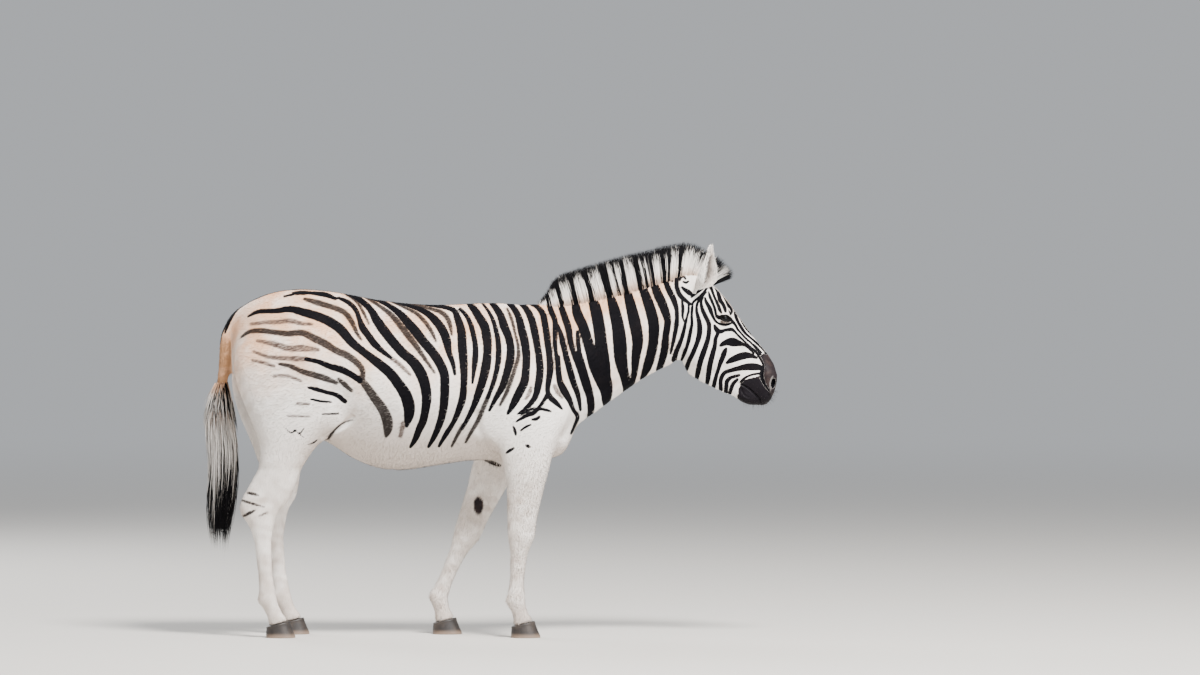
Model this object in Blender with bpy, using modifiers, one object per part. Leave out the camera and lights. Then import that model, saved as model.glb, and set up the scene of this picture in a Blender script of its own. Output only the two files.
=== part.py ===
"""A plains zebra standing at ease, life size, as solids in metres.

The animal looks along +X and stands on z = 0. Its flesh is lofted in one piece from
sections along the trunk, neck, head and legs, then parted with thin cuts into the trunk,
neck, head, muzzle and the upper and lower legs. Ears, eyes, mane, forelock, tail and
hooves are set against that flesh with a hair-thin gap.
"""

import math

import bmesh
import bpy
import numpy as np
from mathutils import Matrix, Vector

# ---------------------------------------------------------------- driving sizes
CUT_GAP = 0.0003  # gap between neighbouring solids
FLESH_VOXEL = 0.008  # grain at which the lofts melt into one skin
SMOOTHING_ALL_OVER = 6  # passes that round the joins between the lofts
SMOOTHING_OF_BARREL = 45  # further passes on the trunk and the root of the neck
BARREL_FROM, BARREL_FULLY = 0.66, 0.82  # heights between which the further passes set in
FLESH_TRIANGLES = 4700  # what is left of the flesh after simplifying
RING_POINTS = 32  # points round one section of the flesh
LEG_RING_POINTS = 20
RINGS_PER_STATION = 4  # rings laid between two stations of a loft
FLANK_SQUARENESS = 2.3  # how far the sections of legs and flanks depart from ovals
HAIR_SQUARENESS = 3.2
HAIR_RING_POINTS = 8
HAIR_ROOT_DEPTH = 0.020  # how deep the hair plates reach before the flesh is cut from them
TAIL_RING_POINTS = 12
HOOF_RING_POINTS = 18
EYE_SEGMENTS, EYE_RINGS = 12, 8
PAD_SEGMENTS, PAD_RINGS = 24, 16

# Boxes that the legs are parted with: x from, x to, z from, z to. Each reaches from near
# the middle plane out past the flank.
LEG_BLOCKS = {
    "foreleg_{}_lower": (-0.40, 0.40, -0.1, 0.375),
    "foreleg_{}_upper": (-0.25, 0.40, 0.375, 0.655),
    "hindleg_{}_lower": (-1.20, -0.60, -0.1, 0.445),
    "hindleg_{}_upper": (-1.20, -0.65, 0.445, 0.740),
}
LEG_BLOCK_NEAR, LEG_BLOCK_FAR = 0.01, 0.40
# Planes of the neck, head and muzzle: a point on the crest and one below it, x and z.
NECK_PLANE = ((0.185, 1.345), (0.380, 0.835))
HEAD_PLANE = ((0.808, 1.470), (0.738, 1.085))
MUZZLE_PLANE = ((1.078, 1.180), (0.978, 0.940))

EYE_RADIUS = 0.0195
EYE_CENTRE = (0.9335, 0.0770, 1.2715)

# Trunk stations from the buttocks to the breast:
# x, top, bottom, half widths high / middle / low, squareness.
TRUNK = [
    (-1.034, 1.235, 1.060, 0.045, 0.060, 0.050, 2.0),
    (-1.010, 1.312, 0.990, 0.085, 0.130, 0.105, 2.1),
    (-0.950, 1.352, 0.920, 0.150, 0.200, 0.140, 2.1),
    (-0.860, 1.382, 0.850, 0.188, 0.240, 0.150, 2.2),
    (-0.760, 1.393, 0.810, 0.205, 0.255, 0.160, 2.2),
    (-0.660, 1.386, 0.775, 0.205, 0.253, 0.185, 2.2),
    (-0.560, 1.370, 0.712, 0.200, 0.250, 0.215, 2.2),
    (-0.460, 1.351, 0.674, 0.200, 0.262, 0.240, 2.2),
    (-0.360, 1.338, 0.664, 0.200, 0.270, 0.248, 2.2),
    (-0.260, 1.331, 0.676, 0.197, 0.268, 0.245, 2.2),
    (-0.160, 1.330, 0.692, 0.186, 0.256, 0.230, 2.2),
    (-0.060, 1.337, 0.703, 0.160, 0.236, 0.205, 2.2),
    (0.030, 1.341, 0.700, 0.125, 0.216, 0.185, 2.1),
    (0.110, 1.334, 0.695, 0.105, 0.205, 0.175, 2.1),
    (0.190, 1.300, 0.698, 0.105, 0.195, 0.165, 2.1),
    (0.260, 1.220, 0.716, 0.110, 0.180, 0.150, 2.1),
    (0.315, 1.110, 0.768, 0.100, 0.140, 0.110, 2.1),
    (0.345, 1.000, 0.840, 0.050, 0.070, 0.050, 2.0),
]

# Neck stations from the shoulders to the poll:
# crest x, crest z, throat x, throat z, half widths high / middle / low, squareness.
NECK = [
    (0.040, 1.325, 0.220, 0.860, 0.070, 0.165, 0.140, 2.1),
    (0.150, 1.338, 0.330, 0.838, 0.066, 0.160, 0.138, 2.1),
    (0.250, 1.345, 0.395, 0.873, 0.060, 0.142, 0.128, 2.1),
    (0.350, 1.364, 0.470, 0.927, 0.054, 0.122, 0.112, 2.1),
    (0.450, 1.384, 0.545, 0.980, 0.050, 0.106, 0.100, 2.1),
    (0.550, 1.407, 0.620, 1.031, 0.048, 0.095, 0.090, 2.1),
    (0.640, 1.434, 0.685, 1.065, 0.048, 0.088, 0.082, 2.1),
    (0.720, 1.457, 0.730, 1.088, 0.048, 0.083, 0.076, 2.1),
    (0.790, 1.466, 0.775, 1.130, 0.048, 0.076, 0.066, 2.1),
    (0.840, 1.452, 0.830, 1.180, 0.045, 0.066, 0.050, 2.1),
]

# Head stations from behind the ears to the tip of the nose, as for the neck.
HEAD = [
    (0.790, 1.448, 0.750, 1.215, 0.046, 0.056, 0.044, 2.2),
    (0.832, 1.443, 0.757, 1.125, 0.064, 0.074, 0.052, 2.3),
    (0.874, 1.419, 0.779, 1.058, 0.077, 0.084, 0.058, 2.5),
    (0.913, 1.382, 0.820, 1.026, 0.087, 0.088, 0.058, 2.6),
    (0.950, 1.338, 0.864, 1.001, 0.089, 0.085, 0.054, 2.6),
    (0.985, 1.290, 0.903, 0.982, 0.074, 0.074, 0.048, 2.6),
    (1.020, 1.238, 0.938, 0.969, 0.055, 0.062, 0.042, 2.5),
    (1.056, 1.191, 0.965, 0.960, 0.046, 0.053, 0.037, 2.4),
    (1.088, 1.154, 0.986, 0.946, 0.044, 0.049, 0.036, 2.4),
    (1.113, 1.122, 1.008, 0.932, 0.046, 0.051, 0.040, 2.4),
    (1.131, 1.092, 1.037, 0.924, 0.050, 0.055, 0.044, 2.5),
    (1.142, 1.060, 1.068, 0.921, 0.050, 0.057, 0.046, 2.5),
    (1.145, 1.026, 1.097, 0.923, 0.042, 0.051, 0.042, 2.4),
    (1.139, 0.990, 1.118, 0.945, 0.022, 0.030, 0.022, 2.2),
]

# The shoulder and the haunch lie on the trunk's sides and lead into the legs:
# front x, front z, rear x, rear z, distance out from the midline, half thickness.
SHOULDER = [
    (0.110, 1.270, 0.000, 1.275, 0.042, 0.030),
    (0.185, 1.150, -0.035, 1.160, 0.086, 0.054),
    (0.258, 1.020, -0.045, 1.030, 0.122, 0.074),
    (0.303, 0.920, -0.030, 0.920, 0.134, 0.081),
    (0.290, 0.830, 0.000, 0.820, 0.140, 0.080),
    (0.262, 0.755, 0.028, 0.745, 0.142, 0.070),
    (0.240, 0.690, 0.050, 0.685, 0.142, 0.062),
    (0.224, 0.630, 0.060, 0.625, 0.142, 0.056),
]
FAR_SHOULDER = [
    (0.110, 1.270, 0.000, 1.275, 0.042, 0.030),
    (0.180, 1.150, -0.040, 1.160, 0.086, 0.054),
    (0.250, 1.020, -0.050, 1.030, 0.122, 0.074),
    (0.285, 0.920, -0.050, 0.920, 0.134, 0.081),
    (0.250, 0.830, -0.055, 0.820, 0.140, 0.080),
    (0.180, 0.755, -0.065, 0.745, 0.142, 0.070),
    (0.105, 0.690, -0.076, 0.685, 0.142, 0.060),
    (0.052, 0.630, -0.092, 0.625, 0.142, 0.052),
]
HAUNCH = [
    (-0.640, 1.290, -0.900, 1.290, 0.090, 0.068),
    (-0.590, 1.200, -0.985, 1.200, 0.124, 0.094),
    (-0.550, 1.090, -1.031, 1.110, 0.140, 0.110),
    (-0.535, 0.980, -1.014, 1.000, 0.145, 0.110),
    (-0.560, 0.885, -0.978, 0.905, 0.148, 0.101),
    (-0.632, 0.815, -0.945, 0.820, 0.148, 0.087),
    (-0.700, 0.745, -0.920, 0.750, 0.146, 0.072),
    (-0.745, 0.680, -0.928, 0.690, 0.143, 0.059),
]
FAR_HAUNCH = [
    (-0.640, 1.290, -0.900, 1.290, 0.090, 0.068),
    (-0.590, 1.200, -0.990, 1.200, 0.124, 0.094),
    (-0.550, 1.090, -1.046, 1.110, 0.140, 0.110),
    (-0.535, 0.980, -1.054, 1.000, 0.145, 0.110),
    (-0.570, 0.885, -1.033, 0.905, 0.148, 0.101),
    (-0.655, 0.815, -0.998, 0.820, 0.148, 0.087),
    (-0.730, 0.745, -0.966, 0.750, 0.146, 0.072),
    (-0.775, 0.680, -0.944, 0.690, 0.143, 0.059),
]

# Legs hang from chains of joints (x, z), and each section says how far the flesh
# reaches ahead of and behind the chain, and to each side.
# The place 1.25 lies a quarter of the way from joint 1 to joint 2.
LEG_JOINTS = {
    "foreleg_right": [(0.142, 0.680), (0.124, 0.412), (0.102, 0.152), (0.128, 0.060)],
    "foreleg_left": [(0.015, 0.690), (-0.096, 0.405), (-0.212, 0.150), (-0.190, 0.060)],
    "hindleg_right": [(-0.820, 0.740), (-0.912, 0.492), (-0.886, 0.155), (-0.848, 0.060)],
    "hindleg_left": [(-0.843, 0.735), (-0.880, 0.486), (-0.842, 0.155), (-0.803, 0.060)],
}
LEG_OUTWARD = {"foreleg": (0.142, 0.118), "hindleg": (0.143, 0.122)}  # at top and hoof
FORELEG_SECTIONS = [
    (0.00, 0.090, 0.086, 0.058),
    (0.30, 0.078, 0.073, 0.052),
    (0.55, 0.066, 0.067, 0.046),
    (0.78, 0.057, 0.062, 0.042),
    (0.92, 0.055, 0.058, 0.043),
    (1.02, 0.054, 0.056, 0.0445),
    (1.13, 0.045, 0.050, 0.0405),
    (1.25, 0.034, 0.042, 0.0325),
    (1.50, 0.028, 0.036, 0.0265),
    (1.78, 0.028, 0.034, 0.0270),
]
HINDLEG_SECTIONS = [
    (0.00, 0.090, 0.095, 0.062),
    (0.34, 0.088, 0.076, 0.055),
    (0.56, 0.088, 0.085, 0.048),
    (0.74, 0.083, 0.094, 0.0445),
    (0.90, 0.066, 0.099, 0.0435),
    (1.03, 0.057, 0.087, 0.0450),
    (1.12, 0.050, 0.062, 0.0420),
    (1.24, 0.038, 0.045, 0.0340),
    (1.50, 0.030, 0.037, 0.0280),
    (1.78, 0.029, 0.035, 0.0280),
]
FOOT_SECTIONS = [  # fetlock, pastern and coronet, alike on every leg
    (1.91, 0.033, 0.038, 0.0320),
    (2.00, 0.036, 0.044, 0.0350),
    (2.22, 0.033, 0.038, 0.0315),
    (2.60, 0.031, 0.031, 0.0295),
    (2.86, 0.037, 0.036, 0.0350),
    (3.00, 0.041, 0.040, 0.0370),
    (3.35, 0.030, 0.034, 0.0300),
]

# Rounded muscles and bones that show under the coat: centre, radii, pitch in degrees.
# Each is made on both sides, at +y and -y.
PADS = {
    "brow": ((0.922, 0.058, 1.288), (0.044, 0.037, 0.034), 50),
    "cheekbone": ((0.962, 0.046, 1.215), (0.085, 0.028, 0.032), 52),
    "jaw muscle": ((0.850, 0.044, 1.150), (0.095, 0.042, 0.078), 60),
    "nostril": ((1.106, 0.032, 1.038), (0.034, 0.026, 0.042), 75),
    "upper lip": ((1.094, 0.020, 0.968), (0.034, 0.032, 0.034), 60),
    "chin": ((1.028, 0.014, 0.958), (0.044, 0.030, 0.027), 5),
    "point of shoulder": ((0.245, 0.110, 0.905), (0.085, 0.080, 0.110), 0),
    "triceps": ((0.060, 0.125, 0.870), (0.110, 0.085, 0.140), 25),
    "breast": ((0.235, 0.060, 0.805), (0.085, 0.085, 0.095), -25),
    "stifle": ((-0.640, 0.130, 0.880), (0.090, 0.090, 0.105), -35),
}

# Ear: root, tip, and how wide the cup opens along its length.
EAR_ROOT = (0.818, 0.058, 1.396)
EAR_TIP = (0.880, 0.104, 1.564)
EAR_HALF_WIDTHS = [0.024, 0.033, 0.040, 0.042, 0.039, 0.032, 0.022, 0.011, 0.003]
EAR_CUP = 1.95  # radians that the shell curls round at its middle
EAR_THICKNESS = 0.0055
EAR_OPENING_TURN = 62  # degrees that the cup opens outward from straight ahead

# Mane: crest x, crest z, hair tip x, hair tip z, half thickness at root, middle, tip.
MANE = [
    (0.205, 1.318, 0.196, 1.338, 0.010, 0.008, 0.004),
    (0.232, 1.328, 0.222, 1.372, 0.020, 0.017, 0.009),
    (0.262, 1.330, 0.248, 1.414, 0.025, 0.020, 0.011),
    (0.310, 1.338, 0.292, 1.450, 0.027, 0.022, 0.012),
    (0.380, 1.352, 0.358, 1.474, 0.028, 0.023, 0.013),
    (0.470, 1.370, 0.445, 1.500, 0.028, 0.023, 0.013),
    (0.560, 1.393, 0.538, 1.526, 0.028, 0.023, 0.013),
    (0.650, 1.420, 0.638, 1.550, 0.028, 0.023, 0.013),
    (0.725, 1.440, 0.730, 1.574, 0.028, 0.023, 0.013),
    (0.780, 1.448, 0.800, 1.579, 0.027, 0.022, 0.012),
    (0.815, 1.442, 0.856, 1.562, 0.025, 0.020, 0.010),
    (0.832, 1.436, 0.884, 1.536, 0.020, 0.016, 0.008),
]
FORELOCK = [
    (0.846, 1.432, 0.890, 1.524, 0.014, 0.012, 0.006),
    (0.858, 1.424, 0.918, 1.510, 0.019, 0.016, 0.008),
    (0.868, 1.413, 0.948, 1.474, 0.021, 0.018, 0.009),
    (0.874, 1.403, 0.966, 1.446, 0.019, 0.016, 0.008),
    (0.878, 1.396, 0.950, 1.424, 0.012, 0.010, 0.005),
]

# Tail: centre x, centre z, half depth fore and aft, half width.
TAIL_DOCK = [
    (-0.985, 1.319, 0.026, 0.028),
    (-1.006, 1.297, 0.032, 0.033),
    (-1.030, 1.262, 0.033, 0.034),
    (-1.051, 1.215, 0.034, 0.032),
    (-1.064, 1.150, 0.029, 0.030),
    (-1.069, 1.070, 0.028, 0.028),
    (-1.078, 1.000, 0.029, 0.028),
    (-1.086, 0.955, 0.031, 0.029),
]
TAIL_TUFT = [
    (-1.087, 0.952, 0.034, 0.031),
    (-1.088, 0.900, 0.053, 0.040),
    (-1.083, 0.840, 0.060, 0.045),
    (-1.072, 0.760, 0.058, 0.046),
    (-1.066, 0.680, 0.057, 0.044),
    (-1.068, 0.600, 0.052, 0.040),
    (-1.078, 0.520, 0.045, 0.034),
    (-1.087, 0.450, 0.033, 0.025),
    (-1.092, 0.390, 0.014, 0.011),
]

# Hoof: height, toe ahead of the coronet's middle, heel behind it, half width.
HOOF_HEIGHT = 0.066
HOOF_RINGS = [
    (0.000, 0.071, 0.047, 0.0465),
    (0.004, 0.0705, 0.0468, 0.0462),
    (0.030, 0.060, 0.0465, 0.0430),
    (0.066, 0.046, 0.0440, 0.0390),
]
HOOF_HEEL_DROP = 0.022  # how much lower the heel stands than the toe's coronet

MATERIALS = {  # colour, roughness
    "striped coat": ((0.62, 0.53, 0.46), 0.78),
    "white leg coat": ((0.66, 0.61, 0.58), 0.80),
    "dark muzzle": ((0.060, 0.050, 0.050), 0.62),
    "mane hair": ((0.30, 0.27, 0.26), 0.70),
    "tail hair": ((0.13, 0.11, 0.11), 0.70),
    "brown dock": ((0.40, 0.27, 0.18), 0.78),
    "hoof horn": ((0.095, 0.080, 0.072), 0.50),
    "dark eye": ((0.012, 0.009, 0.008), 0.12),
}


# ---------------------------------------------------------------- small helpers
def clear_scene():
    for obj in list(bpy.data.objects):
        bpy.data.objects.remove(obj)


def material(name):
    found = bpy.data.materials.get(name)
    if found:
        return found
    colour, roughness = MATERIALS[name]
    made = bpy.data.materials.new(name)
    made.use_nodes = True
    shader = made.node_tree.nodes["Principled BSDF"]
    shader.inputs["Base Color"].default_value = (*colour, 1)
    shader.inputs["Roughness"].default_value = roughness
    shader.inputs["Metallic"].default_value = 0
    return made


def collection(name, shown=True):
    found = bpy.data.collections.get(name)
    if not found:
        found = bpy.data.collections.new(name)
        bpy.context.scene.collection.children.link(found)
        found.hide_render = not shown
    return found


def object_of(name, mesh, finish=None):
    """An object of the zebra, or of its cutters and moulds where it has no finish."""
    obj = bpy.data.objects.new(name, mesh)
    if finish:
        collection("zebra").objects.link(obj)
        mesh.materials.clear()
        mesh.materials.append(material(finish))
    else:
        collection("cutters", shown=False).objects.link(obj)
        obj.hide_render = True
        obj.display_type = "WIRE"
    return obj


def evaluated_mesh(obj):
    """The object's mesh with its modifiers in, so that the next tool can work on it."""
    bpy.context.view_layer.update()
    graph = bpy.context.evaluated_depsgraph_get()
    return bpy.data.meshes.new_from_object(obj.evaluated_get(graph))


def settle(obj):
    """Makes the object's modifiers part of its mesh."""
    mesh = evaluated_mesh(obj)
    obj.modifiers.clear()
    obj.data = mesh
    return obj


def cut(obj, cutter, operation="DIFFERENCE"):
    modifier = obj.modifiers.new("cut", "BOOLEAN")
    modifier.operation = operation
    modifier.object = cutter
    return settle(obj)


def smooth_rows(rows, per_station=RINGS_PER_STATION):
    """Rows of numbers with more between them, on a smooth curve through each column."""
    rows = np.array(rows, float)
    gaps = np.maximum(np.linalg.norm(np.diff(rows[:, :2], axis=0), axis=1), 1e-6)
    slopes = np.diff(rows, axis=0) / gaps[:, None]
    tangents = np.vstack(
        [
            slopes[:1],
            (slopes[1:] * gaps[:-1, None] + slopes[:-1] * gaps[1:, None])
            / (gaps[:-1] + gaps[1:])[:, None],
            slopes[-1:],
        ]
    )
    made = []
    for i, gap in enumerate(gaps):
        for step in range(per_station):
            t = step / per_station
            made.append(
                rows[i] * (2 * t**3 - 3 * t**2 + 1)
                + tangents[i] * gap * (t**3 - 2 * t**2 + t)
                + rows[i + 1] * (3 * t**2 - 2 * t**3)
                + tangents[i + 1] * gap * (t**3 - t**2)
            )
    return [*made, rows[-1]]


def section(top, bottom, widths, squareness, count, out=0.0):
    """A closed section in the plane of top, bottom and the animal's left-right line.

    The widths are half widths high, middle and low, and out moves it off the midline.
    """
    top, bottom = Vector((top[0], out, top[1])), Vector((bottom[0], out, bottom[1]))
    points = []
    for step in range(count):
        turn = 2 * math.pi * step / count
        down = (1 - math.cos(turn)) / 2
        half = width_between(down, *widths)
        half *= max(0.0, 1 - abs(2 * down - 1) ** squareness) ** (1 / squareness)
        side = half if turn < math.pi else -half
        points.append(top.lerp(bottom, down) + Vector((0, side, 0)))
    return points


def width_between(down, high, middle, low):
    """The half width at a share of the way down, gliding from one width to the next."""
    near, far = (high, middle) if down < 0.5 else (middle, low)
    share = min(max((down - (0.15 if down < 0.5 else 0.5)) / 0.35, 0), 1)
    return near + (far - near) * (3 * share**2 - 2 * share**3)


def loft(bm, rings):
    """Skins a row of sections with quads and closes its two ends."""
    loops = [[bm.verts.new(point) for point in ring] for ring in rings]
    faces = [bm.faces.new(loops[0]), bm.faces.new(loops[-1][::-1])]
    for near, far in zip(loops, loops[1:]):
        for i in range(len(near)):
            j = (i + 1) % len(near)
            faces.append(bm.faces.new((near[j], near[i], far[i], far[j])))
    return faces


def mesh_of_lofts(name, *ring_rows):
    mesh = bpy.data.meshes.new(name)
    bm = bmesh.new()
    for rings in ring_rows:
        faces = loft(bm, rings)
        bmesh.ops.recalc_face_normals(bm, faces=faces)
    bm.to_mesh(mesh)
    bm.free()
    return mesh


# ---------------------------------------------------------------- flesh
def trunk_rings():
    return [
        section((x, top), (x, bottom), (high, middle, low), square, RING_POINTS)
        for x, top, bottom, high, middle, low, square in smooth_rows(TRUNK)
    ]


def upright_rings(stations):
    """Rings of the neck or head, each between a point on its crest and one below."""
    return [
        section((tx, tz), (bx, bz), (high, middle, low), square, RING_POINTS)
        for tx, tz, bx, bz, high, middle, low, square in smooth_rows(stations)
    ]


def flank_rings(stations, side):
    """Rings of a shoulder or haunch, each between its front and its rear edge."""
    return [
        section((fx, fz), (rx, rz), (half,) * 3, FLANK_SQUARENESS, LEG_RING_POINTS, side * out)
        for fx, fz, rx, rz, out, half in smooth_rows(stations)
    ]


def chain_point(joints, place):
    """The point at that place along a chain of joints, and the chain's heading there."""
    joints = np.array(joints, float)
    index = min(int(place), len(joints) - 2)
    point = joints[index] + (joints[index + 1] - joints[index]) * (place - index)
    before = chain_heading(joints, index - 1 if place - index < 0.5 else index)
    after = chain_heading(joints, index if place - index < 0.5 else index + 1)
    blend = (place - index + 0.5) % 1
    heading = before * (1 - blend) + after * blend
    return point, heading / np.linalg.norm(heading)


def chain_heading(joints, bone):
    bone = min(max(bone, 0), len(joints) - 2)
    step = joints[bone + 1] - joints[bone]
    return step / np.linalg.norm(step)


def leg_rings(leg, side):
    kind = leg.split("_")[0]
    sections = (FORELEG_SECTIONS if kind == "foreleg" else HINDLEG_SECTIONS) + FOOT_SECTIONS
    top_out, hoof_out = LEG_OUTWARD[kind]
    rows = []
    for place, ahead, behind, half in sections:
        point, heading = chain_point(LEG_JOINTS[leg], place)
        forward = np.array((-heading[1], heading[0]))
        out = top_out + (hoof_out - top_out) * place / 3
        rows.append((*(point + forward * ahead), *(point - forward * behind), out, half))
    return flank_rings(rows, side)


def add_pads(bm):
    for centre, radii, pitch in PADS.values():
        for side in (1, -1):
            place = Matrix.Translation((centre[0], side * centre[1], centre[2]))
            turn = Matrix.Rotation(math.radians(pitch), 4, "Y")
            bmesh.ops.create_uvsphere(
                bm,
                u_segments=PAD_SEGMENTS,
                v_segments=PAD_RINGS,
                radius=1,
                matrix=place @ turn @ Matrix.Diagonal((*radii, 1)),
            )


def make_flesh():
    """The whole body as one closed mesh: the lofts melted together, then simplified."""
    lofts = [trunk_rings(), upright_rings(NECK), upright_rings(HEAD)]
    for side, shoulder, haunch in ((-1, SHOULDER, HAUNCH), (1, FAR_SHOULDER, FAR_HAUNCH)):
        name = "right" if side < 0 else "left"
        lofts.append(flank_rings(shoulder, side))
        lofts.append(flank_rings(haunch, side))
        lofts.append(leg_rings(f"foreleg_{name}", side))
        lofts.append(leg_rings(f"hindleg_{name}", side))
    mesh = mesh_of_lofts("flesh", *lofts)
    bm = bmesh.new()
    bm.from_mesh(mesh)
    add_pads(bm)
    bm.to_mesh(mesh)
    bm.free()
    flesh = object_of("flesh", mesh)
    melt = flesh.modifiers.new("melt", "REMESH")
    melt.mode = "VOXEL"
    melt.voxel_size = FLESH_VOXEL
    settle(flesh)
    barrel = flesh.vertex_groups.new(name="barrel")
    for vertex in flesh.data.vertices:
        share = (vertex.co.z - BARREL_FROM) / (BARREL_FULLY - BARREL_FROM)
        on_head = (vertex.co.x - HEAD[0][0] + 0.2) / 0.2
        barrel.add([vertex.index], min(max(share, 0), 1) * (1 - min(max(on_head, 0), 1)), "REPLACE")
    for passes, group in ((SMOOTHING_ALL_OVER, ""), (SMOOTHING_OF_BARREL, barrel.name)):
        soften = flesh.modifiers.new("soften", "SMOOTH")
        soften.factor = 0.5
        soften.iterations = passes
        soften.vertex_group = group
    settle(flesh)
    simplify = flesh.modifiers.new("simplify", "DECIMATE")
    simplify.ratio = FLESH_TRIANGLES / (2 * len(flesh.data.polygons))
    return settle(flesh)


def swollen(obj, amount):
    """A copy grown by the amount all over, to cut a neighbour that leans on it."""
    copy = object_of(obj.name + "_swollen", obj.data.copy())
    grow = copy.modifiers.new("grow", "DISPLACE")
    grow.strength = amount
    grow.mid_level = 0
    return settle(copy)


# ---------------------------------------------------------------- parting the flesh
def block(name, low, high, grow=0.0):
    """A box-shaped cutter between two corners, grown by the amount on every side."""
    mesh = bpy.data.meshes.new(name)
    bm = bmesh.new()
    middle = (Vector(low) + Vector(high)) / 2
    size = Vector(high) - Vector(low) + Vector((2 * grow,) * 3)
    matrix = Matrix.Translation(middle) @ Matrix.Diagonal((*size, 1))
    bmesh.ops.create_cube(bm, size=1, matrix=matrix)
    bm.to_mesh(mesh)
    bm.free()
    return object_of(name, mesh)


def take_block(flesh, name, low, high, finish):
    """Takes what lies in the box from the flesh as a part of its own."""
    part = object_of(name, flesh.data.copy(), finish)
    cut(part, block(name + "_inside", low, high), "INTERSECT")
    cut(flesh, block(name + "_outside", low, high, CUT_GAP))
    return part


def take_ahead(flesh, name, high_point, low_point, finish):
    """Takes what lies ahead of a slanted plane, given by two points of its side view."""
    run = Vector((high_point[0] - low_point[0], 0, high_point[1] - low_point[1]))
    ahead = Vector((run.z, 0, -run.x)).normalized()
    point = Vector((low_point[0], 0, low_point[1]))
    part = object_of(name, flesh.data.copy(), finish)
    halve(part.data, point + ahead * CUT_GAP, -ahead)
    halve(flesh.data, point, ahead)
    return part


def halve(mesh, point, away):
    """Cuts the mesh at a plane, drops the side the arrow points to, and caps the cut."""
    bm = bmesh.new()
    bm.from_mesh(mesh)
    everything = bm.verts[:] + bm.edges[:] + bm.faces[:]
    result = bmesh.ops.bisect_plane(
        bm, geom=everything, plane_co=point, plane_no=away, clear_outer=True
    )
    rim = [item for item in result["geom_cut"] if isinstance(item, bmesh.types.BMEdge)]
    bmesh.ops.holes_fill(bm, edges=rim, sides=0)
    bmesh.ops.triangulate(bm, faces=[face for face in bm.faces if len(face.verts) > 4])
    bmesh.ops.recalc_face_normals(bm, faces=bm.faces)
    bm.to_mesh(mesh)
    bm.free()


def part_flesh(flesh):
    """Parts the flesh with thin cuts where a person would name its parts."""
    for side, name in ((-1, "right"), (1, "left")):
        near, far = sorted((side * LEG_BLOCK_NEAR, side * LEG_BLOCK_FAR))
        for label, (rear, front, low, high) in LEG_BLOCKS.items():
            corners = (rear, near, low), (front, far, high)
            take_block(flesh, label.format(name), *corners, "white leg coat")
    neck = take_ahead(flesh, "neck", *NECK_PLANE, "striped coat")
    head = take_ahead(neck, "head", *HEAD_PLANE, "striped coat")
    muzzle = take_ahead(head, "muzzle", *MUZZLE_PLANE, "dark muzzle")
    trunk = object_of("trunk", flesh.data.copy(), "striped coat")
    return [trunk, neck, head, muzzle]


# ---------------------------------------------------------------- pieces set on the flesh
def make_eyes(head):
    for side, name in ((-1, "right"), (1, "left")):
        centre = Vector((EYE_CENTRE[0], side * EYE_CENTRE[1], EYE_CENTRE[2]))
        for radius, finish in ((EYE_RADIUS + CUT_GAP, None), (EYE_RADIUS, "dark eye")):
            mesh = bpy.data.meshes.new(f"eye_{name}")
            bm = bmesh.new()
            bmesh.ops.create_uvsphere(
                bm, u_segments=EYE_SEGMENTS, v_segments=EYE_RINGS, radius=radius
            )
            bmesh.ops.translate(bm, verts=bm.verts, vec=centre)
            bm.to_mesh(mesh)
            bm.free()
            if finish:
                eye = object_of(f"eye_{name}", mesh, finish)
                eye.data.shade_smooth()
            else:
                cut(head, object_of(f"socket_{name}", mesh))


def make_ears(leaned_on):
    """Each ear is a leaf-shaped shell that curls round its own length."""
    for side, name in ((-1, "right"), (1, "left")):
        root = Vector((EAR_ROOT[0], side * EAR_ROOT[1], EAR_ROOT[2]))
        tip = Vector((EAR_TIP[0], side * EAR_TIP[1], EAR_TIP[2]))
        along = (tip - root).normalized()
        turn = math.radians(EAR_OPENING_TURN)
        opening = Vector((math.cos(turn), side * math.sin(turn), 0))
        opening = (opening - along * opening.dot(along)).normalized()
        across = along.cross(opening)
        mesh = bpy.data.meshes.new(f"ear_{name}")
        bm = bmesh.new()
        rows = []
        last = len(EAR_HALF_WIDTHS) - 1
        for i, half in enumerate(EAR_HALF_WIDTHS):
            share = i / last
            curl = EAR_CUP * (1 - 0.55 * share)
            middle = root.lerp(tip, share) + opening * 0.006 * math.sin(math.pi * share)
            rows.append(
                [
                    bm.verts.new(
                        middle
                        + across * half * math.sin(curl * v) / math.sin(min(curl, 1.5))
                        + opening * half * (0.85 - math.cos(curl * v))
                    )
                    for v in (-1, -0.67, -0.33, 0, 0.33, 0.67, 1)
                ]
            )
        for low, high in zip(rows, rows[1:]):
            for j in range(len(low) - 1):
                bm.faces.new((low[j], low[j + 1], high[j + 1], high[j]))
        bm.to_mesh(mesh)
        bm.free()
        ear = object_of(f"ear_{name}", mesh, "striped coat")
        shell = ear.modifiers.new("shell", "SOLIDIFY")
        shell.thickness = EAR_THICKNESS
        shell.offset = 0
        settle(ear)
        cut(ear, leaned_on)


def hair_plate(name, stations, leaned_on, finish):
    """A thin upright crest of hair, from its roots in the skin to its tips."""
    rings = []
    for rx, rz, tx, tz, root_half, middle_half, tip_half in smooth_rows(stations, 2):
        down = Vector((rx - tx, 0, rz - tz)).normalized() * HAIR_ROOT_DEPTH
        widths = (tip_half, middle_half, root_half)
        root = (rx + down.x, rz + down.z)
        rings.append(section((tx, tz), root, widths, HAIR_SQUARENESS, HAIR_RING_POINTS))
    plate = object_of(name, mesh_of_lofts(name, rings), finish)
    return cut(plate, leaned_on)


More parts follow.
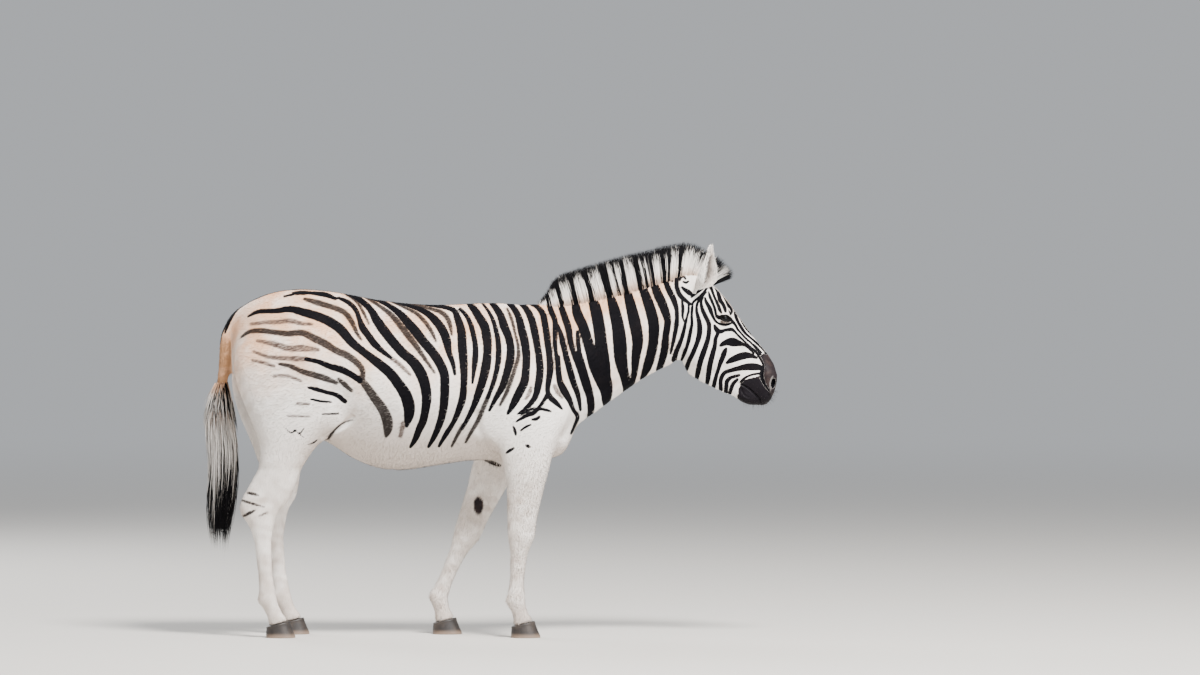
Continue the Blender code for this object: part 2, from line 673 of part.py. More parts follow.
def tail_rings(stations):
    turns = [2 * math.pi * step / TAIL_RING_POINTS for step in range(TAIL_RING_POINTS)]
    rings = []
    for x, z, deep, half in smooth_rows(stations, 2):
        rings.append(
            [
                Vector((x + deep * math.cos(turn), half * math.sin(turn), z))
                for turn in turns
            ]
        )
    return rings


def make_tail(leaned_on):
    dock = object_of("tail_dock", mesh_of_lofts("tail_dock", tail_rings(TAIL_DOCK)), "brown dock")
    cut(dock, leaned_on)
    rings = tail_rings(TAIL_TUFT)
    tuft = object_of("tail_tuft", mesh_of_lofts("tail_tuft", rings), "tail hair")
    low = min(vertex.co.z for vertex in dock.data.vertices)
    cut(tuft, block("tail_join", (-1.3, -0.2, low - CUT_GAP), (-0.9, 0.2, low + 0.1)))


def make_hooves():
    for leg, joints in LEG_JOINTS.items():
        kind, name = leg.split("_")
        side = -1 if name == "right" else 1
        out = side * LEG_OUTWARD[kind][1]
        coronet_x = joints[-1][0]
        rings = []
        for height, toe, heel, half in HOOF_RINGS:
            ring = []
            for step in range(HOOF_RING_POINTS):
                turn = 2 * math.pi * step / HOOF_RING_POINTS
                reach = toe if math.cos(turn) > 0 else heel
                drop = HOOF_HEEL_DROP * (1 - math.cos(turn)) / 2 * height / HOOF_HEIGHT
                ring.append(
                    Vector(
                        (
                            coronet_x + reach * math.cos(turn),
                            out + half * math.sin(turn),
                            height - drop,
                        )
                    )
                )
            rings.append(ring)
        object_of(f"hoof_{leg}", mesh_of_lofts(f"hoof_{leg}", rings), "hoof horn")


def set_legs_on_hooves():
    """Cuts each lower leg off where its hoof begins."""
    for leg in LEG_JOINTS:
        kind, name = leg.split("_")
        hoof = bpy.data.objects[f"hoof_{leg}"]
        lower = bpy.data.objects[f"{leg}_lower"]
        cut(lower, swollen(hoof, CUT_GAP))


def make_zebra():
    clear_scene()
    flesh = make_flesh()
    leaned_on = swollen(flesh, CUT_GAP)
    parts = part_flesh(flesh)
    make_eyes(parts[2])
    make_ears(leaned_on)
    hair_plate("mane", MANE, leaned_on, "mane hair")
    hair_plate("forelock", FORELOCK, leaned_on, "mane hair")
    make_tail(leaned_on)
    make_hooves()
    set_legs_on_hooves()


make_zebra()
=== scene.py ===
import math

import bmesh
import bpy
import numpy as np
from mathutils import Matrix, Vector
from mathutils.bvhtree import BVHTree


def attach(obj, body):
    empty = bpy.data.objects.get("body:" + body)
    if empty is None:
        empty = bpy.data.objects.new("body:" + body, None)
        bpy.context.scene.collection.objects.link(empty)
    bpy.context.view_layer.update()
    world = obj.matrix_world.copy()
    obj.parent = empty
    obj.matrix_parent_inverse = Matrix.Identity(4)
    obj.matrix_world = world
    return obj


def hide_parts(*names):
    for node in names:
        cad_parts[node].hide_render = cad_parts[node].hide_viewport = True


# A life-size still model of a standing zebra: +X is its head end, -Y its right side, metres.

SEED = 41

# ---------- camera and light
CAMERA_AIM = (0.436, 0.0, 1.194)
CAMERA_PLACE = (0.436, -26.0, 1.616)
CAMERA_LENS = 195.0  # mm, on a sensor 36 mm wide
FLOOR_SIZE = 160.0
FLOOR_FADE = (3.0, 26.0)  # distances between which the floor turns into air
# name: (place, aim, breadth in m, watts, colour)
LAMPS = {
    "key light": ((2.5, -5.0, 8.5), (0.0, 0.0, 0.9), 3.0, 2560.0, (1.0, 0.975, 0.94)),
    "front light": ((6.0, -9.0, 3.0), (0.2, 0.0, 0.9), 6.0, 730.0, (0.93, 0.96, 1.0)),
    "rear light": ((-6.0, 6.0, 5.0), (-0.2, 0.0, 0.9), 5.0, 730.0, (0.96, 0.98, 1.0)),
}
SKY_COLOUR = (0.86, 0.89, 0.93)
SKY_STRENGTH = 0.55

# ---------- the skin
FLESH_NODES = [
    "trunk", "neck", "head", "muzzle", "tail_dock",
    "foreleg_right_upper", "foreleg_right_lower", "foreleg_left_upper", "foreleg_left_lower",
    "hindleg_right_upper", "hindleg_right_lower", "hindleg_left_upper", "hindleg_left_lower",
]
EYE_NODES = ["eye_right", "eye_left"]
SKIN_GRAIN = 0.0065  # size of the skin's quads on the body
NODE_SWELL = 0.0012  # closes the hair-thin cuts between the nodes
SKIN_PASSES = 9  # smoothing passes all over
BARREL_PASSES = 34  # further passes on the barrel
LEG_PASSES_LESS = 3  # and how many fewer on the legs
SKIN_BOTTOM = 0.012  # the skin ends inside the hooves, at this height
COAT_DEPTH_BODY = 0.0030
COAT_DEPTH_LEG = 0.0018
COAT_DEPTH_HEAD = 0.0012
HEAD_FROM = (0.735, 0.86)  # the head lies ahead of this x and above this z
# In mm: x, z and reach of the places on the head that get the finest quads
FINE_SPOTS = np.array([
    (895, 1345, 62), (990, 1225, 55), (1060, 1140, 55), (1010, 1180, 30),
    (934, 1272, 46), (1118, 1015, 50), (1045, 975, 60), (1095, 955, 55),
]) / 1000

# In mm, name: (centre x, its distance from the middle plane, z), (radii), push out, turn in degrees
FORMS = {
    "blade ridge": ((130, 185, 1120), (22, 120, 150), 4.5, 18),
    "blade hollow": ((75, 200, 1130), (26, 120, 130), -4, 18),
    "behind the shoulder": ((-45, 240, 980), (50, 100, 140), -5.5, 12),
    "upper arm": ((90, 190, 900), (90, 90, 60), 4.5, 35),
    "elbow": ((-20, 170, 790), (30, 60, 35), 5, 0),
    "shoulder point": ((255, 110, 930), (45, 80, 55), 5, 0),
    "neck foot": ((285, 120, 1020), (30, 80, 130), -5, -14),
    "hip bone": ((-535, 170, 1275), (45, 80, 30), 5, -30),
    "flank hollow": ((-500, 200, 1170), (60, 120, 85), -7.5, -30),
    "thigh": ((-740, 200, 1020), (110, 100, 150), 4, 10),
    "rear thigh groove": ((-905, 160, 990), (18, 80, 170), -4, 10),
    "stifle": ((-630, 190, 905), (50, 80, 55), 5.5, 0),
    "under stifle": ((-640, 170, 800), (50, 60, 30), -4, 25),
    "temple": ((900, 62, 1322), (22, 30, 20), -4.2, 50),
    "eye arch": ((944, 70, 1302), (30, 30, 11), 4, 40),
    "cheek crest": ((985, 60, 1205), (55, 30, 10), 3.6, 48),
    "under crest": ((1000, 58, 1165), (60, 30, 22), -3, 48),
    "jaw muscle edge": ((925, 70, 1120), (16, 30, 70), -2.6, -12),
    "jaw edge": ((880, 45, 1035), (80, 30, 14), 2.8, 32),
    "jaw rear": ((778, 50, 1110), (20, 40, 60), 2.8, -10),
    "nose bone": ((1035, 22, 1205), (85, 12, 14), 2.2, 50),
    "nostril fold": ((1108, 45, 1062), (22, 22, 20), 3.4, 60),
    "nostril outer rim": ((1108, 50, 1012), (9, 20, 30), 3.6, -8),
    "nostril lower rim": ((1124, 34, 976), (14, 20, 8), 3.4, -10),
    "upper lip": ((1098, 24, 950), (20, 26, 16), 4, 0),
    "lip corner": ((1006, 44, 1000), (12, 18, 12), 2.2, 0),
    "chin": ((1035, 20, 938), (26, 26, 14), 3, 0),
    "throat groove": ((752, 60, 1190), (12, 60, 90), -4.5, -8),
}
# In mm, name: (radii), push out, and the centre on each side's leg, -1 right and 1 left
LEG_FORMS = {
    "knee": ((14, 22, 28), 4, {-1: (146, 135, 425), 1: (-78, 135, 425)}),
    "back of the knee": ((12, 14, 20), 3.5, {-1: (90, 125, 438), 1: (-125, 125, 430)}),
    "right cannon groove": ((10, 10, 110), -1.6, {-1: (112, 148, 330)}),
    "left cannon groove": ((12, 10, 100), -1.6, {1: (-150, 148, 320)}),
    "fore fetlock": ((12, 22, 18), 4, {-1: (76, 118, 145), 1: (-235, 118, 150)}),
    "fore coronet": ((24, 30, 10), 2.6, {-1: (135, 118, 78), 1: (-185, 118, 78)}),
    "point of the hock": ((14, 20, 26), 4, {-1: (-966, 132, 535), 1: (-934, 132, 530)}),
    "side of the hock": ((20, 12, 30), 3, {-1: (-905, 160, 500), 1: (-872, 160, 495)}),
    "hock hollow": ((16, 12, 40), -3.4, {-1: (-935, 160, 560), 1: (-902, 160, 555)}),
    "hind fetlock": ((12, 22, 18), 4, {-1: (-915, 122, 150), 1: (-872, 122, 150)}),
    "hind coronet": ((24, 30, 10), 2.6, {-1: (-842, 122, 78), 1: (-798, 122, 78)}),
}
# name: (x, z) points of each crease, half width, depth, distance from the middle plane at which it starts
CREASES = {
    "mouth": (
        [(0.992, 1.012), (1.018, 0.998), (1.046, 0.976), (1.072, 0.948), (1.084, 0.925)], 0.0042, 0.0065, 0.0
    ),
    "flank fold": ([(-0.548, 0.880), (-0.600, 0.835), (-0.660, 0.795)], 0.0100, 0.0105, 0.05),
    "elbow fold": ([(-0.055, 0.890), (-0.045, 0.830), (-0.010, 0.775)], 0.0180, 0.0045, 0.09),
    "neck vein": ([(0.700, 1.120), (0.600, 1.060), (0.480, 1.000), (0.360, 0.960)], 0.0160, 0.0040, 0.03),
    "chest middle": ([(0.345, 0.960), (0.325, 0.880), (0.290, 0.800)], 0.0140, 0.0040, 0.0),
    "nostril crease": ([(1.088, 1.085), (1.080, 1.050), (1.086, 1.010)], 0.0060, 0.0026, 0.02),
    "chin crease": ([(1.000, 0.990), (1.012, 0.965), (1.030, 0.955)], 0.0050, 0.0022, 0.01),
}

# ---------- eyes
EYE_CENTRE = (0.9335, 0.0770, 1.2715)
EYE_RADIUS = 0.0195
EYE_FACING = (0.20, 0.955, 0.05)
EYE_SLANT = 13  # degrees that the slit's front corner lies below its rear one
SLIT_HALF_LENGTH = 0.0188
SLIT_HALF_HEIGHT = 0.0105
SLIT_DEPTH = 0.0045  # how far the skin sinks under the ball's surface in the slit
LID_THICKNESS = 0.0024
NOSTRIL_CENTRE = (1.128, 0.036, 1.012)
NOSTRIL_RADII = (0.0092, 0.0195)
NOSTRIL_LEAN = -8  # degrees
NOSTRIL_DEPTH = 0.016
NOSTRIL_RIM = 0.0022  # how far the skin stands out round the nostril
BALL_ROWS = 32
BALL_COLUMNS = 48
CORNEA_BULGE = 0.035
LID_POINTS = 56
LID_RING = 8
UPPER_LID_RIM = 0.0023
LOWER_LID_RIM = 0.0017
LASHES = 90
LASH_LENGTH = (0.009, 0.015)
LASH_WIDTH = 0.00055
WHISKERS = 150
WHISKER_LENGTH = (0.010, 0.026)
WHISKER_WIDTH = 0.00045

# ---------- short coat
BLADE_COUNT = 92000
BLADE_ROOT = 0.0012  # how far each hair tuft starts under the skin
BLADE_LENGTH = {"body": 0.0135, "leg": 0.0090, "head": 0.0065}
LONG_BLADE = 0.006  # how much longer they are under the belly, on the jaw and at the root of the tail
BLADE_HALF_WIDTH = {"body": 0.0016, "head": 0.0010}
COAT_DENSITY = {"body": 1.0, "leg": 1.5, "head": 2.6}
CROSSING_SHARE = 0.12  # of the tufts that would lie across a stripe's edge, how many do
COAT_PIECES = ["coat_right", "coat_left", "coat_neck", "coat_legs", "coat_head"]
UNWRAP_FACES = 9000
ATLAS_PATCH = 0.003  # breadth of each tuft's own patch of the flat sheet

# ---------- ears, mane and tail
EAR_ROOT = (0.819, 0.055, 1.392)
EAR_TIP = (0.880, 0.104, 1.564)
EAR_HALF_WIDTHS = [0.011, 0.036, 0.047, 0.048, 0.043, 0.034, 0.023, 0.012, 0.003]
EAR_CUP = 1.95
EAR_THICKNESS = 0.0055
EAR_OPENING_TURN = 34
EAR_ROWS = 40
EAR_COLUMNS = 33
EAR_HAIRS = 1500  # long ones inside the cup
EAR_HAIR_LENGTH = (0.014, 0.034)
EAR_RIM_HAIRS = 800
EAR_RIM_HAIR_LENGTH = (0.006, 0.013)
EAR_BACK_HAIRS = 900
EAR_BACK_HAIR_LENGTH = (0.006, 0.011)
EAR_HAIR_WIDTHS = ((0.0006, 0.0011), (0.0006, 0.0010), (0.0008, 0.0013))  # in the cup, on the rim, behind

MANE_LOCKS = 5200  # on each side
MANE_LOCK_WIDTH = (0.0020, 0.0034)
MANE_LEAN = 0.016  # how far the tips on the neck lean back beyond the outline's own slant
MANE_CORE_REACH = 0.80  # how far the plate under the hairs reaches towards their tips
MANE_CORE_BREADTH = 0.62
# In mm: crest x, z, tip x, z, half thickness at root, middle and tip
MANE = np.array([
    (205, 1318, 196, 1338, 10, 8, 4), (232, 1328, 222, 1372, 20, 17, 9),
    (262, 1330, 248, 1414, 25, 20, 11), (310, 1338, 292, 1450, 27, 22, 12),
    (380, 1352, 358, 1474, 28, 23, 13), (470, 1370, 445, 1500, 28, 23, 13),
    (560, 1393, 538, 1526, 28, 23, 13), (650, 1420, 638, 1550, 28, 23, 13),
    (725, 1440, 730, 1574, 28, 23, 13), (768, 1448, 798, 1579, 27, 22, 12),
    (796, 1446, 850, 1560, 25, 20, 10), (816, 1440, 886, 1532, 20, 16, 8),
]) / 1000
FORELOCK_LOCKS = 1900
FORELOCK_LOCK_WIDTH = (0.0013, 0.0022)
FORELOCK_TOP = 0.48  # the locks above this share of the forelock's edge are black
FORELOCK_BOTTOM = 0.66  # and so are those below this one
FORELOCK = np.array([
    (846, 1432, 893, 1526, 14, 12, 6), (858, 1424, 922, 1512, 19, 16, 8),
    (868, 1413, 951, 1482, 21, 18, 9), (874, 1403, 970, 1455, 19, 16, 8),
    (878, 1396, 965, 1431, 15, 12, 6),
]) / 1000
TASSEL_LOCKS = 3000
TASSEL_LOCK_WIDTH = (0.0018, 0.0032)
TASSEL_CORE = 0.60  # breadth of the core under the locks
TASSEL_CORE_POINTS = 10
FRINGE_LOCKS = 700  # on the lower part of the dock, lying over the top of the tassel
FRINGE_REACH = 0.06  # how far up the dock they start
FRINGE_FOOT = 0.955  # height of the lowest of them
FRINGE_RADIUS = 0.025
# In mm: x, z, half depth, half width
TAIL_TUFT = np.array([
    (-1087, 952, 34, 31), (-1088, 900, 53, 40), (-1083, 840, 60, 45), (-1074, 760, 59, 46),
    (-1071, 680, 58, 44), (-1072, 600, 56, 41), (-1081, 520, 53, 38), (-1086, 450, 49, 34),
    (-1088, 385, 36, 24),
]) / 1000
HOOF_PLACES = {
    "hoof_foreleg_right": (0.128, -0.118), "hoof_foreleg_left": (-0.190, 0.118),
    "hoof_hindleg_right": (-0.848, -0.122), "hoof_hindleg_left": (-0.803, 0.122),
}
HOOF_POINTS = 48
HOOF_LEVELS = 22
HOOF_SQUARENESS = 2.3
HOOF_GROWTH = 0.007  # depth of the growth rings as a share of the hoof
HOOF_RING_RATE = 780  # growth rings turn through this many radians in a metre
HOOF_CROWN = 0.035  # how far the rolled upper edge stands out
HOOF_WEAR = 0.006
HOOF_HEIGHT = 0.066
HOOF_HEEL_DROP = 0.022
# In mm: height, reach of toe and heel, half width
HOOF_RINGS = np.array([
    (0, 71, 47, 46.5), (4, 70.5, 46.8, 46.2), (30, 60, 46.5, 43), (66, 46, 44, 39),
]) / 1000

# ---------- markings
# The stripes are strokes laid on from straight beside the animal, from this far off.
SIDE_ON_REACH = 26.0
SIDE_ON_HEIGHT = 1.616
SIDE_ON_X = 0.436
STROKE_REACH = 0.03  # how far round a stroke its depth is worked out
STROKE_STEPS = 4  # smooth steps between two rows of a stroke
# Added to each side of a stripe
STROKE_SWELL = {"body": 0.0026, "neck": 0.0032, "head": 0.0013, "leg": 0.0008}
# In mm, x and z: the middle of the face's front, and where the dark muzzle begins
FACE_RIDGE = np.array([
    (872, 1420), (912, 1372), (950, 1325), (1000, 1255), (1060, 1180), (1110, 1120),
]) / 1000
FACE_STRIPES = (0.0, 0.0125, 0.0250, 0.0375)  # distance from the middle plane between the eyes
FACE_STRIPE_WIDTH = 0.0062
FACE_GAPS = (0.0172,)  # white lines across the dark of the forehead
FACE_GAP_WIDTH = 0.0036
BACK_LINE_HALF_WIDTH = 0.0060
CROUP_LINE_GAIN = 0.0150  # how much wider the line on the back is over the croup
DOCK_LINE_GAIN = 0.0120  # and at the top of the dock
BELLY_LINE_HALF_WIDTH = 0.0100
MUZZLE_EDGE = np.array([
    (920, 1000), (958, 984), (991, 991), (1012, 998), (1025, 1014), (1031, 1032), (1035, 1052),
    (1043, 1075.5),
    (1061.5, 1081.3), (1077, 1090.5), (1105, 1085), (1120, 1077), (1127, 1082), (1135, 1100), (1150, 1150),
]) / 1000
DOCK_MIDDLE = ((0.95, 1.07, 1.21, 1.30), (-1.086, -1.069, -1.051, -1.004))  # heights, and its x at each
CHESTNUTS = {-1: (0.128, 0.505), 1: (-0.052, 0.516)}  # the horny patch inside each foreleg, x and z by side
CHESTNUT_RADII = (0.021, 0.040)
# In mm, name: rows of (x, z, full width) down each stripe.
BLACK_STROKES = {
    "croup dash 1": [(-793, 1370, 8), (-765, 1372, 13), (-722, 1372, 9)],
    "croup dash 2": [(-715, 1371, 9), (-660, 1364, 17), (-620, 1349, 9)],
    "croup dash 3": [(-830, 1358, 4), (-797, 1365, 6)],
    "haunch 1": [(-972, 1278, 4), (-941, 1294, 12), (-860, 1300, 17), (-803, 1307, 23), (-750, 1294, 29),
      (-662, 1265, 33), (-606, 1230, 35), (-556, 1173, 31), (-505, 1132, 28), (-456, 1094, 34),
      (-408, 1054, 37), (-371, 1008, 39), (-336, 950, 45), (-327, 900, 42), (-333, 862, 26),
      (-337, 839, 8)],
    "haunch 2": [(-738, 1108, 14), (-692, 1098, 16), (-646, 1079, 21), (-599, 1065, 25), (-560, 1045, 22),
      (-527, 1022, 22)],
    "haunch 3": [(-732, 995, 5), (-704, 988, 13), (-660, 975, 12), (-618, 963, 15), (-586, 938, 15)],
    "haunch 4": [(-721, 948, 4), (-681, 939, 6), (-641, 936, 4)],
    "haunch 5": [(-675, 887, 4), (-611, 890, 6)],
    "haunch 6": [(-826, 834, 3), (-800, 814, 5), (-778, 826, 3)],
    "haunch 7": [(-790, 826, 3), (-765, 812, 5), (-748, 832, 4)],
    "haunch 8": [(-770, 810, 4), (-748, 795, 3)],
    # Painted shade: a dark line along the skin fold at the stifle.
    "stifle fold": [(-733, 767, 3), (-710, 774, 6), (-692, 787, 3)],
    "dock line": [(-900, 1368, 4), (-950, 1348, 6), (-1000, 1322, 7), (-1030, 1290, 7), (-1052, 1245, 6),
      (-1064, 1212, 2)],
    "flank 1": [(-608, 1352, 8), (-568, 1333, 16), (-541, 1305, 16), (-527, 1268, 17), (-513, 1230, 26),
      (-497, 1209, 25), (-468, 1170, 25), (-433, 1138, 17), (-400, 1113, 8)],
    "flank 3": [(-592, 1378, 8), (-540, 1356, 17), (-508, 1333, 22), (-481, 1305, 24), (-456, 1261, 34),
      (-425, 1217, 36), (-389, 1172, 35), (-351, 1130, 35), (-313, 1097, 38), (-283, 1053, 42),
      (-264, 1004, 40), (-257, 949, 36), (-263, 900, 30), (-272, 862, 29), (-289, 823, 25), (-302, 791, 20),
      (-322, 757, 8)],
    "flank 5": [(-520, 1366, 5), (-450, 1344, 13), (-400, 1317, 18), (-362, 1287, 26), (-335, 1256, 32),
      (-302, 1217, 35), (-269, 1175, 34), (-236, 1137, 35), (-207, 1094, 35), (-187, 1048, 34),
      (-184, 988, 34), (-187, 933, 32), (-195, 884, 28), (-209, 840, 24), (-228, 797, 18), (-250, 758, 8)],
    "flank 7": [(-420, 1348, 5), (-350, 1329, 10), (-302, 1313, 14), (-258, 1292, 22), (-225, 1263, 29),
      (-194, 1222, 33), (-177, 1179, 32), (-168, 1133, 21), (-152, 1089.5, 16), (-144, 1045, 8)],
    "flank 9": [(-300, 1334, 5), (-236, 1323, 11), (-182, 1314, 14), (-149, 1301, 18), (-133, 1268, 26),
      (-119, 1222, 32), (-115, 1168, 34), (-111, 1113, 32), (-108, 1058, 27), (-108, 998, 24),
      (-114.5, 944, 26), (-130, 899, 22), (-150, 854, 16), (-176, 813, 17), (-208, 760, 7)],
    "flank 10": [(-123.5, 1307, 10), (-102, 1285, 13), (-81, 1246, 17), (-70, 1206, 18), (-62, 1157, 19),
      (-64, 1102, 21), (-70, 1048, 12), (-74, 1010, 5)],
    "flank 11": [(-97, 1338, 12), (-73, 1313, 24), (-50, 1280, 30), (-26, 1239, 34), (-16, 1190, 34),
      (-15, 1135, 30), (-21, 1080, 34), (-34, 1020, 31), (-51, 966, 27), (-68, 920, 20), (-89, 876, 15),
      (-114, 830, 11)],
    "flank 12": [(-34, 1330, 5), (-18, 1310, 8), (4, 1272, 12), (20, 1222, 16), (29, 1168, 19),
      (28, 1113, 20), (19, 1053, 17), (4, 998, 15), (-14, 952, 10)],
    "flank 13": [(-10, 1345, 10), (17, 1315, 22), (37, 1283, 26), (51, 1242, 31), (68.5, 1199, 28),
      (77.5, 1151, 29), (74, 1102, 32), (60.5, 1049, 27), (43.5, 994, 24), (20, 953, 17), (-7, 902, 7)],
    "flank 15": [(58, 1342, 10), (86, 1315, 20), (108, 1277, 24), (121, 1228, 30), (135, 1173, 32),
      (140, 1124, 30), (138, 1069, 29), (132, 1015, 32), (110, 969, 31), (90, 930, 25), (67, 890, 9)],
    "flank 16": [(108, 1338, 10), (140, 1307, 21), (159, 1272, 26), (173, 1222, 28), (184, 1168, 26),
      (192, 1113, 26), (195, 1058, 28), (189, 1004, 27), (176, 955, 20), (148, 919, 15), (107, 888, 4)],
    "shoulder 1": [(150, 1332, 6), (187, 1313, 16), (205, 1291, 22), (215, 1250, 24), (225, 1190, 24),
      (233, 1124, 23), (236, 1058, 24), (230, 1015, 20), (228, 977, 16), (241, 952, 20), (259.5, 935, 17),
      (284, 910, 5)],
    "shoulder 2": [(226, 965, 14), (207, 934, 11), (192, 914, 12), (173, 895, 15), (140, 881, 12),
      (100, 858, 4)],
    "shoulder 3": [(190, 909, 7), (215, 906, 9), (240, 899, 4)],
    "shoulder 4": [(165, 866, 6), (180, 868, 10), (196, 878, 4)],
    "shoulder 5": [(118, 822, 3), (140, 838, 6), (160, 846, 3)],
    "shoulder 6": [(88, 838, 4), (96, 818, 9), (98, 803, 3)],
    "shoulder 7": [(60, 732, 4), (74, 742, 9), (90, 752, 4)],
    "shoulder 8": [(139, 764, 4), (147, 760, 10), (155, 757, 4)],
    "shoulder 9": [(118, 885, 3), (150, 902, 6), (175, 912, 4)],
    "neck 1 rear": [(228, 1345, 12), (238, 1305, 20), (255, 1263, 18), (258, 1215, 20), (259, 1173, 18),
      (266, 1115, 19), (270, 1060, 19), (277, 1015, 22), (294, 980, 26), (315, 943, 18), (330, 905, 11),
      (346, 880, 12), (336, 845, 7), (322, 812, 5)],
    "neck 1 front": [(262, 1240, 20), (280, 1198, 22), (291.5, 1159, 19), (300.5, 1119, 20),
      (313, 1073, 22), (328.5, 1018.5, 21), (346, 970, 16), (358, 905, 6)],
    "neck 2": [(252, 1440, 12), (266, 1390, 18), (274, 1340, 18), (290, 1290, 23), (310, 1230, 24),
      (321.5, 1168, 20), (345, 1120, 36), (362, 1070, 34), (380, 1010, 32), (395, 955, 27), (398, 905, 22),
      (390, 872, 10)],
    "neck 2 slip": [(345, 1218, 6), (348, 1180, 14), (352, 1130, 20), (362, 1090, 16)],
    "neck 3": [(305, 1465, 14), (322, 1400, 16), (336, 1340, 24), (346, 1288, 35), (368, 1239, 36),
      (384, 1190, 36), (398, 1140, 38), (424, 1080, 60), (446, 1030, 62), (460, 980, 46), (459, 935, 27),
      (462, 905, 14)],
    "neck 4": [(365, 1490, 22), (379, 1429, 18), (394, 1378, 20), (415, 1320, 40), (430, 1250, 44),
      (440, 1180, 44), (446, 1110, 50), (450, 1050, 60)],
    "neck 5": [(440, 1505, 20), (453, 1439, 21), (473, 1379, 22), (492, 1310, 40), (508, 1240, 46),
      (516, 1170, 50), (520, 1100, 46), (533, 1040, 34), (542, 990, 27), (536, 965, 14)],
    "neck 6": [(505, 1520, 18), (524, 1450, 18), (545, 1380, 28), (560, 1320, 38), (576, 1250, 44),
      (587, 1180, 39), (578, 1110, 30), (573, 1050, 20), (560, 990, 12)],
    "neck 7": [(565, 1535, 22), (590, 1450, 18), (612, 1380, 30), (636, 1310, 38), (650, 1250, 40),
      (650, 1190, 36), (640, 1130, 34), (626, 1080, 32), (604, 1029, 12)],
    "neck 8": [(628, 1545, 20), (642, 1450, 18), (662, 1380, 30), (688, 1320, 32), (706, 1260, 24),
      (698, 1201, 23), (692, 1140, 26), (672, 1065, 20)],
    "neck 9": [(680, 1555, 14), (690, 1460, 14), (704, 1400, 18), (732, 1340, 19), (741, 1310, 14.5),
      (743.5, 1280, 13), (742, 1250, 15.5), (737, 1220, 13.5), (731, 1190, 12.5), (724, 1160, 8),
      (717, 1130, 4)],
    "mane slip 1": [(500, 1515, 12), (486, 1470, 6), (500, 1420, 4)],
    "mane slip 2": [(700, 1560, 14), (712, 1480, 12), (724, 1420, 5)],
    "mane slip 3": [(604, 1530, 10), (612, 1480, 6), (618, 1430, 4)],
    "neck 10": [(765, 1565, 12), (758, 1500, 12), (745, 1440, 13), (742, 1405, 14), (755, 1364, 16),
      (778, 1342, 14), (797, 1328, 9)],
    "cheek 1": [(788, 1334, 6), (790.5, 1310, 8), (784.5, 1280, 8), (777, 1250, 10.5), (771, 1220, 12.5),
      (762, 1190, 14), (750, 1160, 15.5), (738, 1130, 15.5), (731, 1105, 18)],
    "cheek 1 slip": [(763, 1345, 6), (767, 1310, 11), (766, 1280, 7), (771, 1260, 4)],
    "cheek 2": [(806, 1332, 6), (804, 1310, 9), (802, 1280, 9.5), (803.5, 1250, 10.5), (798, 1220, 13.5),
      (792, 1190, 14.5), (784, 1160, 13), (772, 1130, 12.5), (760, 1100, 6)],
    "cheek 3": [(862, 1376, 3), (848, 1360.5, 6), (836, 1347.5, 7.5), (827.5, 1336, 8), (822, 1318, 8.5),
      (821.5, 1303, 10.5), (827, 1280, 13.5), (833.5, 1250, 18.5), (835, 1220, 20.5), (829.5, 1190, 19.5),
      (819, 1160, 17.5), (806.5, 1130, 17.5), (792, 1100, 16.5), (781, 1070, 16), (772, 1050, 10)],
    "cheek 4": [(848, 1355, 4), (840.5, 1338, 8.5), (844, 1310, 14), (857, 1280, 16), (871, 1250, 16.5),
      (872.5, 1220, 16.5), (868, 1190, 17), (859, 1160, 19.5), (848, 1130, 21.5), (838, 1100, 20.5),
      (831, 1070, 20.5), (826, 1045, 18), (821, 1018, 11)],
    "cheek 5": [(909.6, 1218.6, 13), (905.5, 1205, 13), (899, 1190, 14.5), (895, 1160, 16),
      (887, 1130, 19.5), (879, 1100, 20.5), (873.5, 1070, 20), (870, 1040, 19), (865, 1010, 14)],
    "under the eye": [(894.4, 1241.5, 9), (899.5, 1230.5, 16), (909, 1219, 19), (922, 1218, 15),
      (934.6, 1222.5, 11), (949, 1225, 12.5), (963.1, 1226, 13.5), (972.5, 1220.5, 10), (981, 1211.5, 7.5),
      (993.5, 1198, 8), (1008.5, 1183.5, 7.5), (1024.5, 1168, 7.5), (1040, 1153.5, 8), (1053, 1142.5, 8.5),
      (1063.5, 1130, 8.5), (1075.5, 1111, 8), (1088, 1086.5, 8)],
    "cheek 6": [(940.5, 1149, 8), (934, 1136, 18), (926.5, 1115, 19), (917, 1092, 16.5), (910, 1068, 13.5),
      (902.5, 1045, 13.5), (896.5, 1020, 15), (891, 998, 15)],
    "cheek lens 1": [(918.5, 1161.5, 10), (927.5, 1167.5, 17), (941.7, 1173.5, 23), (956, 1176, 30.5),
      (966.7, 1175.5, 34), (981, 1173, 28), (995.3, 1170, 19.5), (1009.6, 1166, 11.5), (1023.9, 1157, 8),
      (1038.1, 1144.5, 7.5), (1050, 1131, 6)],
    "cheek lens 2": [(944, 1093, 10), (959, 1102.5, 20.5), (977, 1110.5, 25.5), (1000, 1119, 28.5),
      (1020, 1123, 26.5), (1040, 1121, 18), (1061, 1113.5, 9)],
    "cheek 7": [(920, 986, 14), (919, 1012, 14.5), (921.5, 1032, 15.5), (932.5, 1051.5, 14.5),
      (962.8, 1063.5, 15.5), (995, 1072, 20), (1020, 1076.5, 25.5), (1040, 1077.5, 28), (1060, 1076.5, 26),
      (1074.4, 1074.3, 20), (1085.5, 1071.5, 12)],
    "cheek 8": [(939.5, 977.6, 14), (941.5, 1000, 15), (944.4, 1019.2, 15.5), (956.7, 1032.5, 12.5),
      (975, 1039.5, 10.5), (991, 1043.7, 9.5)],
    "cheek 9": [(955.5, 972.4, 12), (960, 988, 13.5), (965.2, 1003.6, 14.5), (975, 1017.5, 12.5),
      (985, 1027, 9)],
    "lip line": [(999.5, 1017.7, 10), (1014.5, 1033, 8.5), (1029.6, 1041.2, 7), (1050, 1047.5, 7),
      (1078, 1051.5, 8)],
